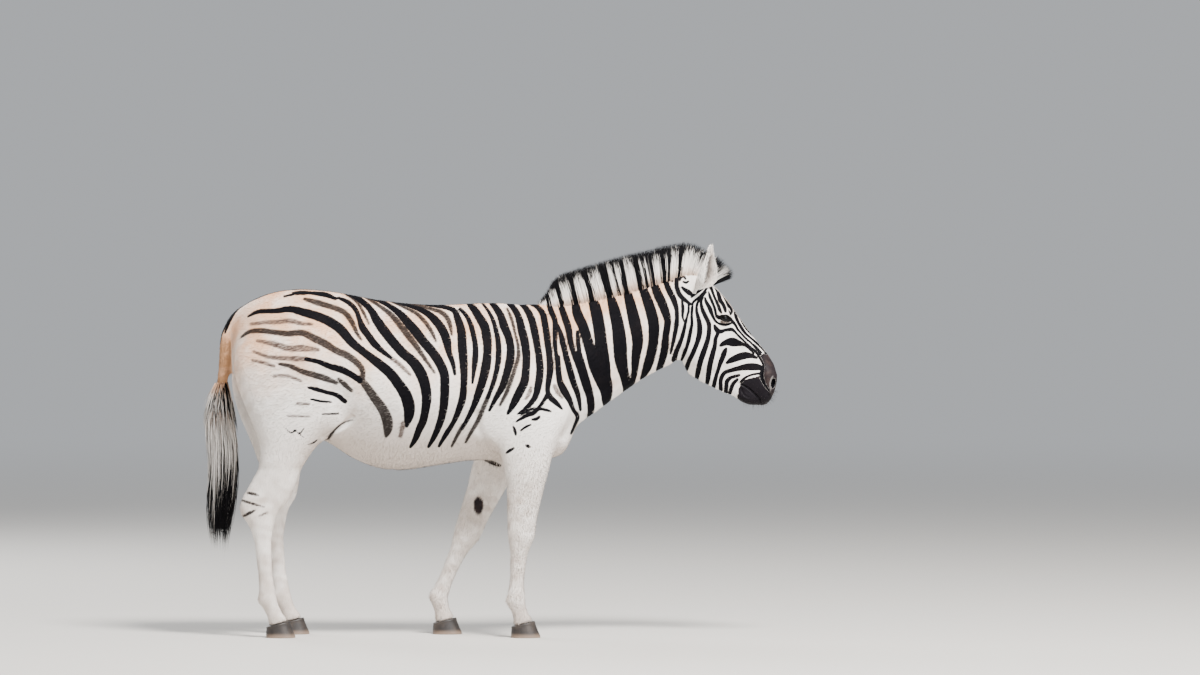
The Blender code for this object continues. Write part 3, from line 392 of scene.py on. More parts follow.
    "brow 1": [(870.5, 1376, 4), (873.5, 1361.5, 9.5), (881.5, 1342.5, 10.5), (888.8, 1324.5, 9.5),
      (895.5, 1306, 9.5), (899.2, 1289, 9), (903.3, 1275.8, 8), (911, 1269, 5)],
    "brow 1 rear": [(855.4, 1352.5, 6), (858, 1342, 10.5), (865, 1328, 13), (875, 1310, 16),
      (882, 1291, 13.5), (889, 1275, 9.5), (898.5, 1259.5, 8.5), (909.6, 1251, 7.5), (922.5, 1246, 8.5),
      (936.4, 1244.5, 8.5), (950, 1246.5, 7.5), (963, 1252, 6)],
    "brow 2": [(864.6, 1412, 4.5), (872.5, 1402.5, 7.5), (881, 1388.5, 11), (887.3, 1371, 9.5),
      (893.5, 1354.4, 8.5), (900.6, 1338.3, 9.5), (908.8, 1320.5, 11.5), (915.5, 1303, 11.5),
      (920.5, 1293.5, 7)],
    "brow 3": [(897.1, 1390.5, 5.5), (905.5, 1376.5, 10.5), (911, 1360, 14.5), (916, 1342.5, 15),
      (926, 1328.5, 13.5), (933.5, 1312.5, 12.5), (937.8, 1299.5, 10.5)],
    "brow 4": [(917, 1375.5, 3), (930.5, 1356.5, 6), (940, 1339.5, 9), (948.8, 1323.2, 13),
      (956.2, 1309.2, 15), (958.5, 1297, 15), (958, 1288, 7)],
    "brow 5": [(912, 1383, 3), (931, 1359.5, 5), (948.5, 1339.5, 6), (966, 1319, 7), (978, 1301.5, 9),
      (986, 1287.5, 8), (993.5, 1274.5, 6), (1006, 1252.3, 5.5), (1017.2, 1234.2, 5.8), (1031.6, 1217, 5.5),
      (1051.2, 1198.5, 5.8), (1071.2, 1179, 6), (1088, 1162.5, 5)],
    "ear root 1": [(764, 1394, 7), (777, 1383.5, 14), (795, 1371, 18), (804.5, 1363, 7)],
    "ear root curl": [(755, 1424, 6), (762, 1436, 8), (772, 1437, 7), (778, 1428, 5)],
    "ear root curl 2": [(770, 1416, 5), (781, 1413, 8), (790, 1418, 5)],
    "nostril fold line": [(1089, 1080, 8), (1083, 1060, 14), (1081, 1043, 16), (1089, 1018, 12),
      (1098.5, 1000, 9), (1110, 985, 6), (1117, 977, 3)],
    "ear root 2": [(801, 1356, 7), (822.5, 1372.5, 8.5), (848.7, 1393.5, 9), (862, 1410, 4)],
    "ear root 3": [(803.5, 1330, 7), (813, 1340, 8.5), (830, 1353.5, 8), (850.5, 1374, 9),
      (864.5, 1393, 6)],
    "nose line 1": [(973.5, 1299, 5.8), (976.8, 1282.8, 10.8), (983, 1267, 10.8), (990.3, 1252.2, 10.3),
      (1000, 1236.5, 11.8), (1009.4, 1221.9, 10.8), (1020.6, 1208.5, 9.6), (1033.3, 1197.7, 7.8),
      (1049, 1184.2, 7.6), (1066.4, 1167.9, 7.6), (1086.2, 1149.3, 7.8), (1099.3, 1131, 7.8)],
    "nose line 1b": [(1052, 1169, 1), (1065.2, 1154.8, 2.6), (1083, 1133.5, 3)],
    "nose line 2": [(961.5, 1266, 7), (970.5, 1253.5, 10.5), (979, 1242, 9), (986.5, 1227.5, 8),
      (998.6, 1213.6, 7), (1010.8, 1199.8, 7), (1025.2, 1185.7, 7), (1042, 1171.5, 7), (1054.8, 1156.8, 7),
      (1067.2, 1143, 7), (1077.5, 1127, 7)],
}
BROWN_STROKES = {
    # Painted shade: the flank fold stroke darkens the crease where the thigh meets the belly.
    "flank fold": [(-553, 864, 2), (-576, 859, 4), (-600, 847, 5), (-625, 823, 7), (-642, 801, 12),
      (-650, 788, 8)],
    # Painted shade under the chest between the forelegs.
    "armpit": [(-30, 702, 5), (4, 686, 12), (36, 672, 6)],
    "hock bar 1": [(-972, 572, 8), (-945, 566, 11), (-930, 562, 4)],
    "hock bar 2": [(-998, 542, 7), (-960, 530, 9), (-907, 514, 4)],
    "hock bar 3": [(-990, 478, 8), (-965, 490, 12), (-942, 502, 4)],
    "croup 1": [(-745, 1347, 8), (-698, 1334, 18), (-658, 1322, 18), (-618, 1309, 17), (-589, 1296, 18),
      (-567, 1272, 18), (-551, 1244, 14), (-537, 1212, 10), (-520, 1185, 4)],
    "haunch 1b": [(-997, 1197, 4), (-969, 1216, 10), (-930, 1222, 15), (-870, 1216, 16), (-808, 1210, 18),
      (-750, 1212, 21), (-710, 1193, 25), (-661, 1169, 26), (-623, 1144, 22), (-577, 1123, 24),
      (-543, 1098, 22), (-518, 1068, 18), (-512, 1040, 14)],
    "haunch 2b": [(-524, 1030, 22), (-500, 998, 26), (-462, 946, 32), (-430, 900, 37), (-414, 855, 40),
      (-414, 822, 30), (-420, 800, 10)],
    "haunch 4b": [(-848, 1089, 6), (-800, 1079, 14), (-762, 1061, 16), (-710, 1045, 20), (-664, 1031, 20),
      (-620, 1012, 10)],
    "haunch 5b": [(-612, 1030, 5), (-590, 1008, 15), (-560, 982, 10)],
    "flank 2b": [(-589, 1375, 4), (-531, 1331, 7), (-508, 1290, 8), (-488, 1248, 3)],
    "flank 4b": [(-500, 1356, 5), (-444, 1320, 10), (-398, 1284, 17), (-369, 1250, 20), (-335, 1205, 21),
      (-300, 1160, 18), (-262, 1104, 10), (-225, 1052, 4)],
    "flank 6b": [(-420, 1350, 4), (-345, 1315, 7), (-296, 1288, 11), (-264, 1255, 12), (-236, 1212, 10),
      (-220, 1178, 3)],
    "flank 8b": [(-330, 1331, 4), (-236, 1307, 10), (-198, 1293, 14), (-176, 1272, 15), (-163, 1239, 12),
      (-157, 1205, 4)],
    "flank 11b": [(-110, 845, 10), (-134, 802, 10), (-156, 760, 5)],
    "flank 12b": [(-8, 965, 13), (-30, 912, 14), (-52, 860, 13), (-78, 815, 10), (-100, 775, 4)],
    "flank 14b": [(64, 1310, 4), (80, 1272, 8), (95, 1215, 6), (108, 1157, 8), (108, 1120, 12),
      (97, 1080, 12), (80, 1026, 13), (58, 966, 12), (35, 922, 5)],
}
FAINT_STROKES = {
    "lower lid": [(921, 1256.5, 6), (932, 1253.5, 9), (944, 1253.5, 10), (956, 1255.5, 9),
      (963, 1257.5, 5)],
    "hock bar 4": [(-928, 478, 5), (-895, 492, 6)],
    "haunch 6c": [(-960, 1248, 4), (-900, 1254, 9), (-855, 1256, 12), (-800, 1260, 13), (-760, 1250, 10),
      (-715, 1246, 4)],
    "haunch 7c": [(-935, 1182, 5), (-866, 1169, 16), (-808, 1151, 18), (-750, 1152, 20), (-690, 1145, 8)],
    "haunch 8c": [(-950, 1139, 4), (-889, 1117, 9), (-831, 1112, 12), (-756, 1109, 14), (-735, 1108, 10)],
    "haunch 9c": [(-955, 1103, 5), (-905, 1092, 7), (-868, 1079, 5)],
    "haunch 10c": [(-870, 1040, 4), (-815, 1040, 6), (-760, 1020, 4)],
    "haunch 11c": [(-775, 930, 4), (-727, 927, 4)],
    "haunch 12c": [(-814, 881, 4), (-727, 878, 5)],
    "flank 1c": [(-410, 1120, 10), (-367, 1087, 10), (-325, 1044, 5)],
    "flank 2c": [(-350, 850, 16), (-362, 800, 10)],
    "shoulder 1c": [(255, 1000, 10), (268, 975, 10), (285, 955, 4)],
    "shoulder 2c": [(160, 995, 4), (155, 975, 10), (140, 950, 4)],
}
WHITE_STROKES = {
    "neck slit 1": [(266, 1222, 2), (270, 1180, 6), (276, 1130, 12)],
    "neck slit 2": [(337, 1225, 3), (336, 1180, 6), (341, 1142, 3)],
}

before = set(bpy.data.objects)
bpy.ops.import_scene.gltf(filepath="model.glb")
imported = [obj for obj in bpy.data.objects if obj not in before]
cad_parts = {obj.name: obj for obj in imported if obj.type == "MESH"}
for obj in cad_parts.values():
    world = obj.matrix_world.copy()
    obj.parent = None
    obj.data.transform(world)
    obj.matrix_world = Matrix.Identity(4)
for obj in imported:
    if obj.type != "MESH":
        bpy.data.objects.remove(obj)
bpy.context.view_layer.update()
rng = np.random.default_rng(SEED)


# ---------- camera, lights, floor
def in_scene(name, data):
    made = bpy.data.objects.new(name, data)
    bpy.context.scene.collection.objects.link(made)
    return made


def place_aimed(name, data, place, aim):
    made = in_scene(name, data)
    made.location = place
    made.rotation_euler = (Vector(aim) - Vector(place)).to_track_quat("-Z", "Y").to_euler()
    return made


def make_camera():
    data = bpy.data.cameras.new("view")
    data.lens = CAMERA_LENS
    data.sensor_width = 36
    data.clip_end = 200
    bpy.context.scene.camera = place_aimed("view", data, CAMERA_PLACE, CAMERA_AIM)


def make_lights():
    for name, (place, aim, breadth, watts, colour) in LAMPS.items():
        data = bpy.data.lights.new(name, "AREA")
        data.shape = "DISK"
        data.size = breadth
        data.energy = watts
        data.color = colour
        place_aimed(name, data, place, aim)
    world = bpy.data.worlds.new("studio")
    world.use_nodes = True
    background = world.node_tree.nodes["Background"]
    background.inputs["Color"].default_value = (*SKY_COLOUR, 1)
    background.inputs["Strength"].default_value = SKY_STRENGTH
    bpy.context.scene.world = world


def make_floor(material):
    half = FLOOR_SIZE / 2
    places = [(-half, -half, 0), (half, -half, 0), (half, half, 0), (-half, half, 0)]
    make_object("floor", places, [0, 1, 2, 3], [4], None, material, False)


# ---------- small tools
def srgb(*shades):
    """Colour as a shader takes it, from 0-255 values as read off a screen."""
    shares = (shade / 255 for shade in shades)
    return tuple(v / 12.92 if v <= 0.04045 else ((v + 0.055) / 1.055) ** 2.4 for v in shares)


def fade(value, start, end):
    """0 before start, 1 after end, and smooth between them. start may be the larger one."""
    share = np.clip((value - start) / (end - start), 0, 1)
    return share * share * (3 - 2 * share)


def unit(vectors):
    return vectors / np.maximum(np.linalg.norm(vectors, axis=-1, keepdims=True), 1e-9)


def mirrored(place, side):
    """A place given on the left side, put on side 1, the left, or -1, the right."""
    return np.array((place[0], side * place[1], place[2]))


def folded(points):
    """x, distance from the middle plane and z of points."""
    return points[:, 0], np.abs(points[:, 1]), points[:, 2]


def columns(*values):
    """Rows of points from their columns, any of which may be one number for all."""
    return np.stack(np.broadcast_arrays(*values), axis=1)


def smooth_rows(rows, steps):
    """Rows of a table with steps smooth ones between each pair, which pass through every given row."""
    rows = np.array(rows, float)
    if len(rows) == 2:
        return rows[0] + (rows[1] - rows[0]) * np.linspace(0, 1, steps + 1)[:, None]
    gaps = np.linalg.norm(np.diff(rows[:, :2], axis=0), axis=1)[:, None]
    slopes = np.diff(rows, axis=0) / gaps
    inner = (slopes[1:] * gaps[:-1] + slopes[:-1] * gaps[1:]) / (gaps[:-1] + gaps[1:])
    slopes = np.vstack([slopes[:1], inner, slopes[-1:]])
    out = []
    for i, gap in enumerate(gaps):
        for t in np.arange(steps) / steps:
            out.append(
                rows[i] * (2 * t**3 - 3 * t**2 + 1)
                + slopes[i] * gap * (t**3 - 2 * t**2 + t)
                + rows[i + 1] * (3 * t**2 - 2 * t**3)
                + slopes[i + 1] * gap * (t**3 - t**2)
            )
    return np.array(out + [rows[-1]])


def row_at(rows, place):
    """Values of a smoothed table at places from 0 to 1 along it."""
    at = np.clip(place, 0, 1) * (len(rows) - 1)
    low = np.minimum(at.astype(int), len(rows) - 2)
    return rows[low] + (rows[low + 1] - rows[low]) * (at - low)[:, None]


def waves(points, size, seed):
    """Smooth noise from -1 to 1 at points, as a sum of plane waves about size metres long."""
    draw = np.random.default_rng(seed)
    total = np.zeros(len(points))
    for _ in range(14):
        heading = unit(draw.normal(size=3))
        length = size * draw.uniform(0.7, 1.6)
        total += np.sin(points @ heading * (2 * math.pi / length) + draw.uniform(0, 2 * math.pi))
    return total / 5


# ---------- markings
def seen_from_side(points):
    """Places in the flat side view on which the strokes are drawn, the same for both sides."""
    scale = SIDE_ON_REACH / (SIDE_ON_REACH - np.abs(points[:, 1]))
    flat = np.empty((len(points), 2))
    flat[:, 0] = SIDE_ON_X + (points[:, 0] - SIDE_ON_X) * scale
    flat[:, 1] = SIDE_ON_HEIGHT + (points[:, 2] - SIDE_ON_HEIGHT) * scale
    return flat


def beside(places, line):
    """For each step of a line: its two rows, each place's nearest share along it, and how far off that is."""
    for start, end in zip(line[:-1], line[1:]):
        run = end[:2] - start[:2]
        share = np.clip((places - start[:2]) @ run / max(run @ run, 1e-12), 0, 1)
        yield start, end, share, np.linalg.norm(places - start[:2] - share[:, None] * run, axis=1)


def stroke_depth(flat, strokes):
    """How far inside the nearest stroke each place lies, in metres, and below 0 outside."""
    depth = np.full(len(flat), -STROKE_REACH)
    for rows in strokes.values():
        line = smooth_rows(np.array(rows) / 1000, STROKE_STEPS)
        low = line[:, :2].min(axis=0) - STROKE_REACH
        high = line[:, :2].max(axis=0) + STROKE_REACH
        near = np.nonzero(((flat > low) & (flat < high)).all(axis=1))[0]
        best = depth[near]
        for start, end, share, away in beside(flat[near], line):
            best = np.maximum(best, (start[2] + share * (end[2] - start[2])) / 2 - away)
        depth[near] = best
    return depth


def stroke_swell(flat):
    x, z = flat[:, 0], flat[:, 1]
    swell = STROKE_SWELL["body"] + (STROKE_SWELL["neck"] - STROKE_SWELL["body"]) * fade(x, 0.22, 0.34)
    swell += (STROKE_SWELL["head"] - swell) * fade(x, 0.72, 0.80)
    return swell + (STROKE_SWELL["leg"] - swell) * fade(z, 0.95, 0.85) * fade(x, -0.30, -0.55)


def line_depth(flat, line, half_width):
    """How far inside a band along a line of (x, z) points each place lies."""
    return half_width - np.min([away for *_, away in beside(flat, smooth_rows(line, 4))], axis=0)


def side_stripes(points, normals):
    """How deep inside the black, brown and faint stripes of the sides each point lies; a few strokes are
    painted shade in creases.
    """
    x, y, z = points.T
    flat = seen_from_side(points)
    far_side = fade(y, 0.01, 0.12)
    wander = columns(waves(points, 0.30, 5), waves(points, 0.30, 6))
    flat = flat + wander * (0.0015 + 0.0085 * far_side[:, None])
    swell = stroke_swell(flat)
    black = stroke_depth(flat, BLACK_STROKES) + swell
    black = np.minimum(black, -stroke_depth(flat, WHITE_STROKES) - 0.0005)
    brown = stroke_depth(flat, BROWN_STROKES) + swell * 1.2
    faint = stroke_depth(flat, FAINT_STROKES) + swell * 1.4
    # Bars end on the back of the hocks, and the insides of the legs are bare of stripes.
    hock_back = fade(z, 0.66, 0.62) * fade(x, -0.60, -0.70)
    black = black - 0.02 * hock_back * fade(np.abs(normals[:, 1]), 0.62, 0.40)
    outward = normals[:, 1] * np.sign(y)
    inner_thigh = fade(outward, 0.02, -0.20) * (z < 0.90) * (x < -0.45)
    bare = np.maximum(inner_thigh, fade(outward, 0.0, 0.25) * (z < 0.72) * (x > -0.06))
    return black - 0.03 * bare, brown - 0.03 * bare, faint - 0.03 * bare


def front_stripes(points, normals, black):
    """Lays on the stripes that run down the front of the face, between those of its two sides."""
    x, y, z = folded(points)
    ridge = smooth_rows(FACE_RIDGE, 5)
    face = np.nonzero((x > 0.84) & (z > 1.06))[0]
    gaps = np.linalg.norm(points[face][:, None, ::2] - ridge[None], axis=2)
    down_face, below = np.zeros(len(points)), np.ones(len(points))
    down_face[face] = gaps.argmin(axis=1) / (len(ridge) - 1)
    below[face] = gaps.min(axis=1)
    up_front = normals[:, 0] * 0.75 + normals[:, 2] * 0.66 - np.abs(normals[:, 1])
    narrowing = 1.15 - 0.55 * down_face

    def bands(middles, width, wander):
        return width / 2 - np.min([np.abs(y - place * narrowing + wander) for place in middles], axis=0)

    width = FACE_STRIPE_WIDTH * (0.7 + 0.5 * np.sin(np.pi * np.clip(down_face * 1.15, 0, 1)))
    width = width + 0.0016 * fade(down_face, 0.55, 0.35)
    stripes = bands(FACE_STRIPES, width, waves(points, 0.08, 9) * 0.001)
    stripes = stripes - 0.01 * fade(down_face, 0.90, 1.0)
    front = fade(up_front, 0.62, 0.86) * (below < 0.045) * (x > 0.865)
    black = black + (np.maximum(stripes, -0.02) - black) * front
    white = bands(FACE_GAPS, FACE_GAP_WIDTH, waves(points, 0.06, 8) * 0.0012)
    shown = fade(up_front, 0.46, 0.60) * (below < 0.06) * (x > 0.865) * fade(down_face, 0.62, 0.50)
    return np.minimum(black, 0.01 * (1 - shown) - white)


def middle_lines(points, normals, black):
    """Lays on the thin line along the back, over the croup and down the dock, and the one along the belly."""
    x, y, z = folded(points)
    half = BACK_LINE_HALF_WIDTH + CROUP_LINE_GAIN * fade(x, -0.45, -0.80) * fade(z, 1.20, 1.37)
    half = (half + DOCK_LINE_GAIN * fade(z, 1.33, 1.26)) * fade(z, 1.10, 1.25) - 0.004 * fade(z, 1.13, 1.10)
    on_back = (x < 0.20) & (z > 1.08) & ((x > -0.90) | (normals[:, 0] < 0.1))
    black = np.where(on_back, np.maximum(black, half - y + waves(points, 0.05, 12) * 0.002), black)
    half = BELLY_LINE_HALF_WIDTH * fade(x, 0.12, -0.10)
    on_belly = (normals[:, 2] < -0.3) & (z < 1.0) & (x < 0.12) & (x > -0.70) & (z > 0.60)
    return np.where(on_belly, np.maximum(black, half - y + waves(points, 0.05, 13) * 0.003), black)


def warm_stain_and_cool_shade(points):
    """Share of tan: back, rump, dock and the neck's crest are stained between the stripes. Below 0 the white
    turns cool, which is painted shade low on the body."""
    x, y, z = folded(points)
    blotch = 0.5 + 0.5 * waves(points, 0.11, 15)
    tan = (0.42 + 0.38 * fade(z, 0.98, 1.28)) * fade(z, 0.78, 0.96) * fade(x, 0.40, 0.20)
    neck = fade(x, 0.20, 0.34) * fade(z, 0.86, 1.02) * fade(x, 0.80, 0.70)
    tan += (0.46 + 0.16 * fade(z, 1.10, 1.30)) * neck
    tan += 0.16 * fade(x, -0.50, -0.72) * fade(z, 1.00, 1.18)
    crest = row_at(smooth_rows(MANE[:, :2], 3), (x - MANE[0, 0]) / np.ptp(MANE[:, 0]))[:, 1]
    tan += 0.55 * fade(z, crest - 0.13, crest - 0.02) * (x > 0.19) * fade(x, 0.80, 0.66)
    tan += 0.30 * fade(x, 0.88, 0.93) * fade(z, 1.20, 1.28) + 0.13 * fade(x, 0.74, 0.82)
    tan = np.clip(tan * (0.62 + 0.55 * blotch), 0, 1)
    # Painted shade: the white turns cool low on the body, more so towards the haunch.
    tan -= 0.9 * fade(z, 1.02, 0.82) * (0.6 + 0.4 * fade(x, -0.45, -0.65))
    dock_x = np.interp(z, *DOCK_MIDDLE)
    off = np.hypot((x - dock_x) / np.where(x > dock_x, 0.85, 1.2), y * 1.2)
    return np.maximum(tan, 1.9 * fade(off, 0.052, 0.036) * fade(z, 1.29, 1.16))


def nostril_place(places):
    """Places beside the nostril as shares of its radii: across it, and out from its middle."""
    lean = math.radians(NOSTRIL_LEAN)
    x, z = places[:, 0] - NOSTRIL_CENTRE[0], places[:, 2] - NOSTRIL_CENTRE[2]
    across = (x * math.cos(lean) + z * math.sin(lean)) / NOSTRIL_RADII[0]
    return across, np.hypot(across, (z * math.cos(lean) - x * math.sin(lean)) / NOSTRIL_RADII[1])


def bare_skin(points, normals, black):
    """Share of dark skin, on the muzzle, the lips and the chestnuts, lightened by a painted highlight on the
    rear of each nostril's rim, and the black with the nostrils' painted shade and the eyes' rims laid on.
    Shares above 1 are the darkest."""
    x, y, z = folded(points)
    ahead = x - np.interp(z, *MUZZLE_EDGE.T) + waves(points, 0.012, 21) * 0.0018
    dark = fade(ahead, -0.003, 0.004) * (x > 0.97) * (z > 0.90)
    lips = fade(1.110 - x + (1.0 - z) * 0.75, 0.006, 0.026) * fade(z, 1.040, 1.025)
    dark = dark * (1 + np.maximum(lips, 0.7 * fade(ahead, 0.014, 0.004)))
    across, out = nostril_place(points)
    near_nostril = (x > 1.07) & (y > 0.008)
    # Painted highlight: a paler crescent on the rear of each nostril's rim.
    pale = np.exp(-(((out - 1.42) / 0.22) ** 2)) * fade(across, -0.2, -0.9) * near_nostril
    dark = dark * (1 - 0.17 * pale)
    # Painted shade: the inside of each nostril is black.
    black = np.where(near_nostril, np.maximum(black, (1.12 - out) * 0.008), black)

    slant = math.radians(EYE_SLANT)
    ahead, above = x - EYE_CENTRE[0], z - EYE_CENTRE[2]
    along = ahead * math.cos(slant) - above * math.sin(slant)
    off = ahead * math.sin(slant) + above * math.cos(slant)
    eye = np.abs((along - 0.002) / 0.0305) ** 1.7 + np.abs(off / np.where(off > 0, 0.0150, 0.0125)) ** 2
    by_eye = (y > 0.045) & (x > 0.88) & (x < 0.99)
    black = np.where(by_eye, np.maximum(black, (1 - eye) * 0.010), black)

    for side, place in CHESTNUTS.items():
        off = np.hypot(*((points[:, ::2] - place) / CHESTNUT_RADII).T) + waves(points, 0.03, 24) * 0.10
        inner = (points[:, 1] * side > 0) & (y < 0.135) & (normals[:, 1] * side < 0.2)
        dark = np.maximum(dark, fade(off, 1.10, 0.85) * inner)
    return dark, black


def dust_and_shade_share(points, normals):
    """Dust on the legs, the feet and the rear flank, and painted shade under the belly."""
    x, _, z = points.T
    fleck = 0.5 + 0.5 * waves(points, 0.035, 26)
    dust_and_painted_shade = fade(z, 0.86, 0.50) * (0.30 + 0.25 * waves(points, 0.16, 25) + 0.55 * fleck)
    dust_and_painted_shade += 0.45 * fade(z, 0.24, 0.06)
    dust_and_painted_shade += 0.34 * fade(z, 1.20, 1.02) * fade(z, 0.84, 0.92) * fade(x, -0.42, -0.55) * fade(fleck, 0.30, 0.80)
    # Painted shade: darker under the belly and chest, where the skin faces down.
    dust_and_painted_shade += 0.95 * fade(normals[:, 2], -0.05, -0.65) * fade(z, 1.0, 0.9) * fade(z, 0.62, 0.70) * (x < 0.35)
    return np.clip(dust_and_painted_shade, 0, 1)


def markings(points, normals):
    """Marks of the coat at points: depth inside black, brown and faint stripes, a few of them painted shade
    in creases, and shares of tan (below 0 painted cool shade), dark skin, and dust with painted shade under
    the belly."""
    black, brown, faint = side_stripes(points, normals)
    black = front_stripes(points, normals, black)
    black = middle_lines(points, normals, black)
    dark, black = bare_skin(points, normals, black)
    # Depths count for more on the head, where the stripes' edges are cleaner.
    clean = 1 + 1.6 * fade(points[:, 0], 0.74, 0.84)
    return {
        "black": black * clean, "brown": brown * clean, "faint": faint * clean,
        "tan": warm_stain_and_cool_shade(points), "dark": dark, "dust_and_painted_shade": dust_and_shade_share(points, normals),
    }


# ---------- meshes from arrays
def make_object(name, places, corners, sides, marks=None, material=None, smooth=True, atlas=None):
    """A mesh object from arrays: corners of all faces in one run, and how many each face has."""
    mesh = bpy.data.meshes.new(name)
    mesh.vertices.add(len(places))
    mesh.vertices.foreach_set("co", np.asarray(places, np.float32).ravel())
    mesh.loops.add(len(corners))
    mesh.loops.foreach_set("vertex_index", np.asarray(corners, np.int32))
    mesh.polygons.add(len(sides))
    starts = np.concatenate([[0], np.cumsum(sides)[:-1]]).astype(np.int32)
    mesh.polygons.foreach_set("loop_start", starts)
    mesh.polygons.foreach_set("loop_total", np.asarray(sides, np.int32))
    mesh.polygons.foreach_set("use_smooth", np.full(len(sides), smooth))
    mesh.update(calc_edges=True)
    set_marks(mesh, marks or {})
    if atlas is not None:
        layer = mesh.uv_layers.new(name="OFBake")
        layer.data.foreach_set("uv", np.asarray(atlas, np.float32)[corners].ravel())
    if material:
        mesh.materials.append(material)
    return in_scene(name, mesh)


def set_marks(mesh, marks):
    for name, values in marks.items():
        attribute = mesh.attributes.new(name, "FLOAT", "POINT")
        attribute.data.foreach_set("value", np.asarray(values, np.float32))


def places_of(mesh):
    flat = np.empty(len(mesh.vertices) * 3)
    mesh.vertices.foreach_get("co", flat)
    return flat.reshape(-1, 3)


def put_places(mesh, places):
    mesh.vertices.foreach_set("co", places.astype(np.float32).ravel())
    mesh.update()


def even_marks(count, **values):
    return {name: np.full(count, float(value)) for name, value in values.items()}


def tube_quads(rings, around, joined=False):
    """Corners of the quads between rings of points in a row, of which the last may join the first."""
    turn = np.arange(around)
    after = np.roll(turn, -1)
    low = np.arange(rings if joined else rings - 1)[:, None] * around
    high = (low + around) % (rings * around)
    return np.stack([low + turn, low + after, high + after, high + turn], axis=2).reshape(-1, 4)


def filled_tube(name, places, around, marks, material):
    """An object that is a tube of rings of points with its ends filled."""
    quads = tube_quads(len(places) // around, around)
    foot = np.arange(around)
    corners = np.concatenate([quads.ravel(), foot[::-1], len(places) - around + foot])
    return make_object(name, places, corners, [4] * len(quads) + [around] * 2, marks, material)


def normals_of(mesh):
    flat = np.empty(len(mesh.vertices) * 3, np.float32)
    mesh.vertex_normals.foreach_get("vector", flat)
    return flat.reshape(-1, 3).astype(float)


def baked(made):
    """The object with its modifiers put into its mesh."""
    graph = bpy.context.evaluated_depsgraph_get()
    mesh = bpy.data.meshes.new_from_object(made.evaluated_get(graph))
    made.modifiers.clear()
    old = made.data
    made.data = mesh
    bpy.data.meshes.remove(old)
    return made


# ---------- the skin
def swollen_nodes(nodes):
    """One object of copies of the solids, each a little swollen so that neighbours melt together."""
    joined = bmesh.new()
    for node in nodes:
        part = bmesh.new()
        part.from_mesh(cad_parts[node].data)
        bmesh.ops.remove_doubles(part, verts=part.verts, dist=1e-5)
        bmesh.ops.recalc_face_normals(part, faces=part.faces)
        part.normal_update()
        for vertex, move in [(vertex, vertex.normal * NODE_SWELL) for vertex in part.verts]:
            vertex.co += move
        mesh = bpy.data.meshes.new("swollen part")
        part.to_mesh(mesh)
        part.free()
        joined.from_mesh(mesh)
        bpy.data.meshes.remove(mesh)
    mesh = bpy.data.meshes.new("swollen")
    joined.to_mesh(mesh)
    joined.free()
    return in_scene("swollen", mesh)


def on_head(x, z):
    return (x > HEAD_FROM[0]) & (z > HEAD_FROM[1]) & (x + z > 1.90)


def refine(mesh, wanted):
    """Splits in four each quad whose middle is wanted."""
    work = bmesh.new()
    work.from_mesh(mesh)
    edges = set()
    for face in work.faces:
        middle = face.calc_center_median()
        if wanted(middle.x, middle.z):
            edges.update(face.edges)
    bmesh.ops.subdivide_edges(work, edges=list(edges), cuts=1, use_grid_fill=True)
    work.to_mesh(mesh)
    work.free()


def smoothed(mesh, passes):
    """Places of the mesh after each vertex has had its own number of smoothing passes."""
    places = places_of(mesh)
    pairs = np.empty(len(mesh.edges) * 2, np.int64)
    mesh.edges.foreach_get("vertices", pairs)
    pairs = pairs.reshape(-1, 2)
    one = np.concatenate([pairs[:, 0], pairs[:, 1]])
    other = np.concatenate([pairs[:, 1], pairs[:, 0]])
    count = np.maximum(np.bincount(one, minlength=len(places)), 1)
    for step in range(int(passes.max())):
        share = 0.5 * np.clip(passes - step, 0, 1)
        around = columns(*(np.bincount(one, values[other], len(places)) for values in places.T))
        places += (around / count[:, None] - places) * share[:, None]
    return places


def leg_share(z):
    """1 on the legs below the body, 0 on the body."""
    return fade(z, 0.74, 0.64)


def carve_eyes(places):
    """Opens each eye's slit over its ball and lays the lids round it."""
    for side in (1, -1):
        middle = mirrored(EYE_CENTRE, side)
        along, across, out = eye_axes(side)
        from_eye = places - middle
        reach = np.linalg.norm(from_eye, axis=1)
        near = np.nonzero(reach < EYE_RADIUS * 2.4)[0]
        length = reach[near]
        step = from_eye[near] / length[:, None]
        outward = step @ out
        s, t = step @ along * EYE_RADIUS, step @ across * EYE_RADIUS
        gap = np.maximum(np.abs(t - slit_middle(s)) - slit_height(s), np.abs(s) - SLIT_HALF_LENGTH)
        lid = EYE_RADIUS + LID_THICKNESS - 0.0010 * fade(gap, 0.004, 0.013)
        weight = fade(gap, 0.020, 0.008) * (outward > 0.15)
        raised = length + (np.clip(length, lid, lid + 0.004) - length) * weight
        inside = (gap < 0) & (outward > 0)
        places[near] = middle + step * np.where(inside, EYE_RADIUS - SLIT_DEPTH, raised)[:, None]
    return places


def eye_axes(side):
    out = unit(mirrored(EYE_FACING, side))
    slant = math.radians(EYE_SLANT)
    along = np.array((math.cos(slant), 0.0, -math.sin(slant)))
    along = unit(along - out * (along @ out))
    across = np.cross(out, along)
    return along, across * np.sign(across[2]), out


def slit_height(s):
    share = np.clip(np.abs(s) / SLIT_HALF_LENGTH, 0, 1)
    return SLIT_HALF_HEIGHT * (1 - share**2.2) + 0.0002


def slit_middle(s):
    return 0.0012 * (1 - (s / SLIT_HALF_LENGTH) ** 2)


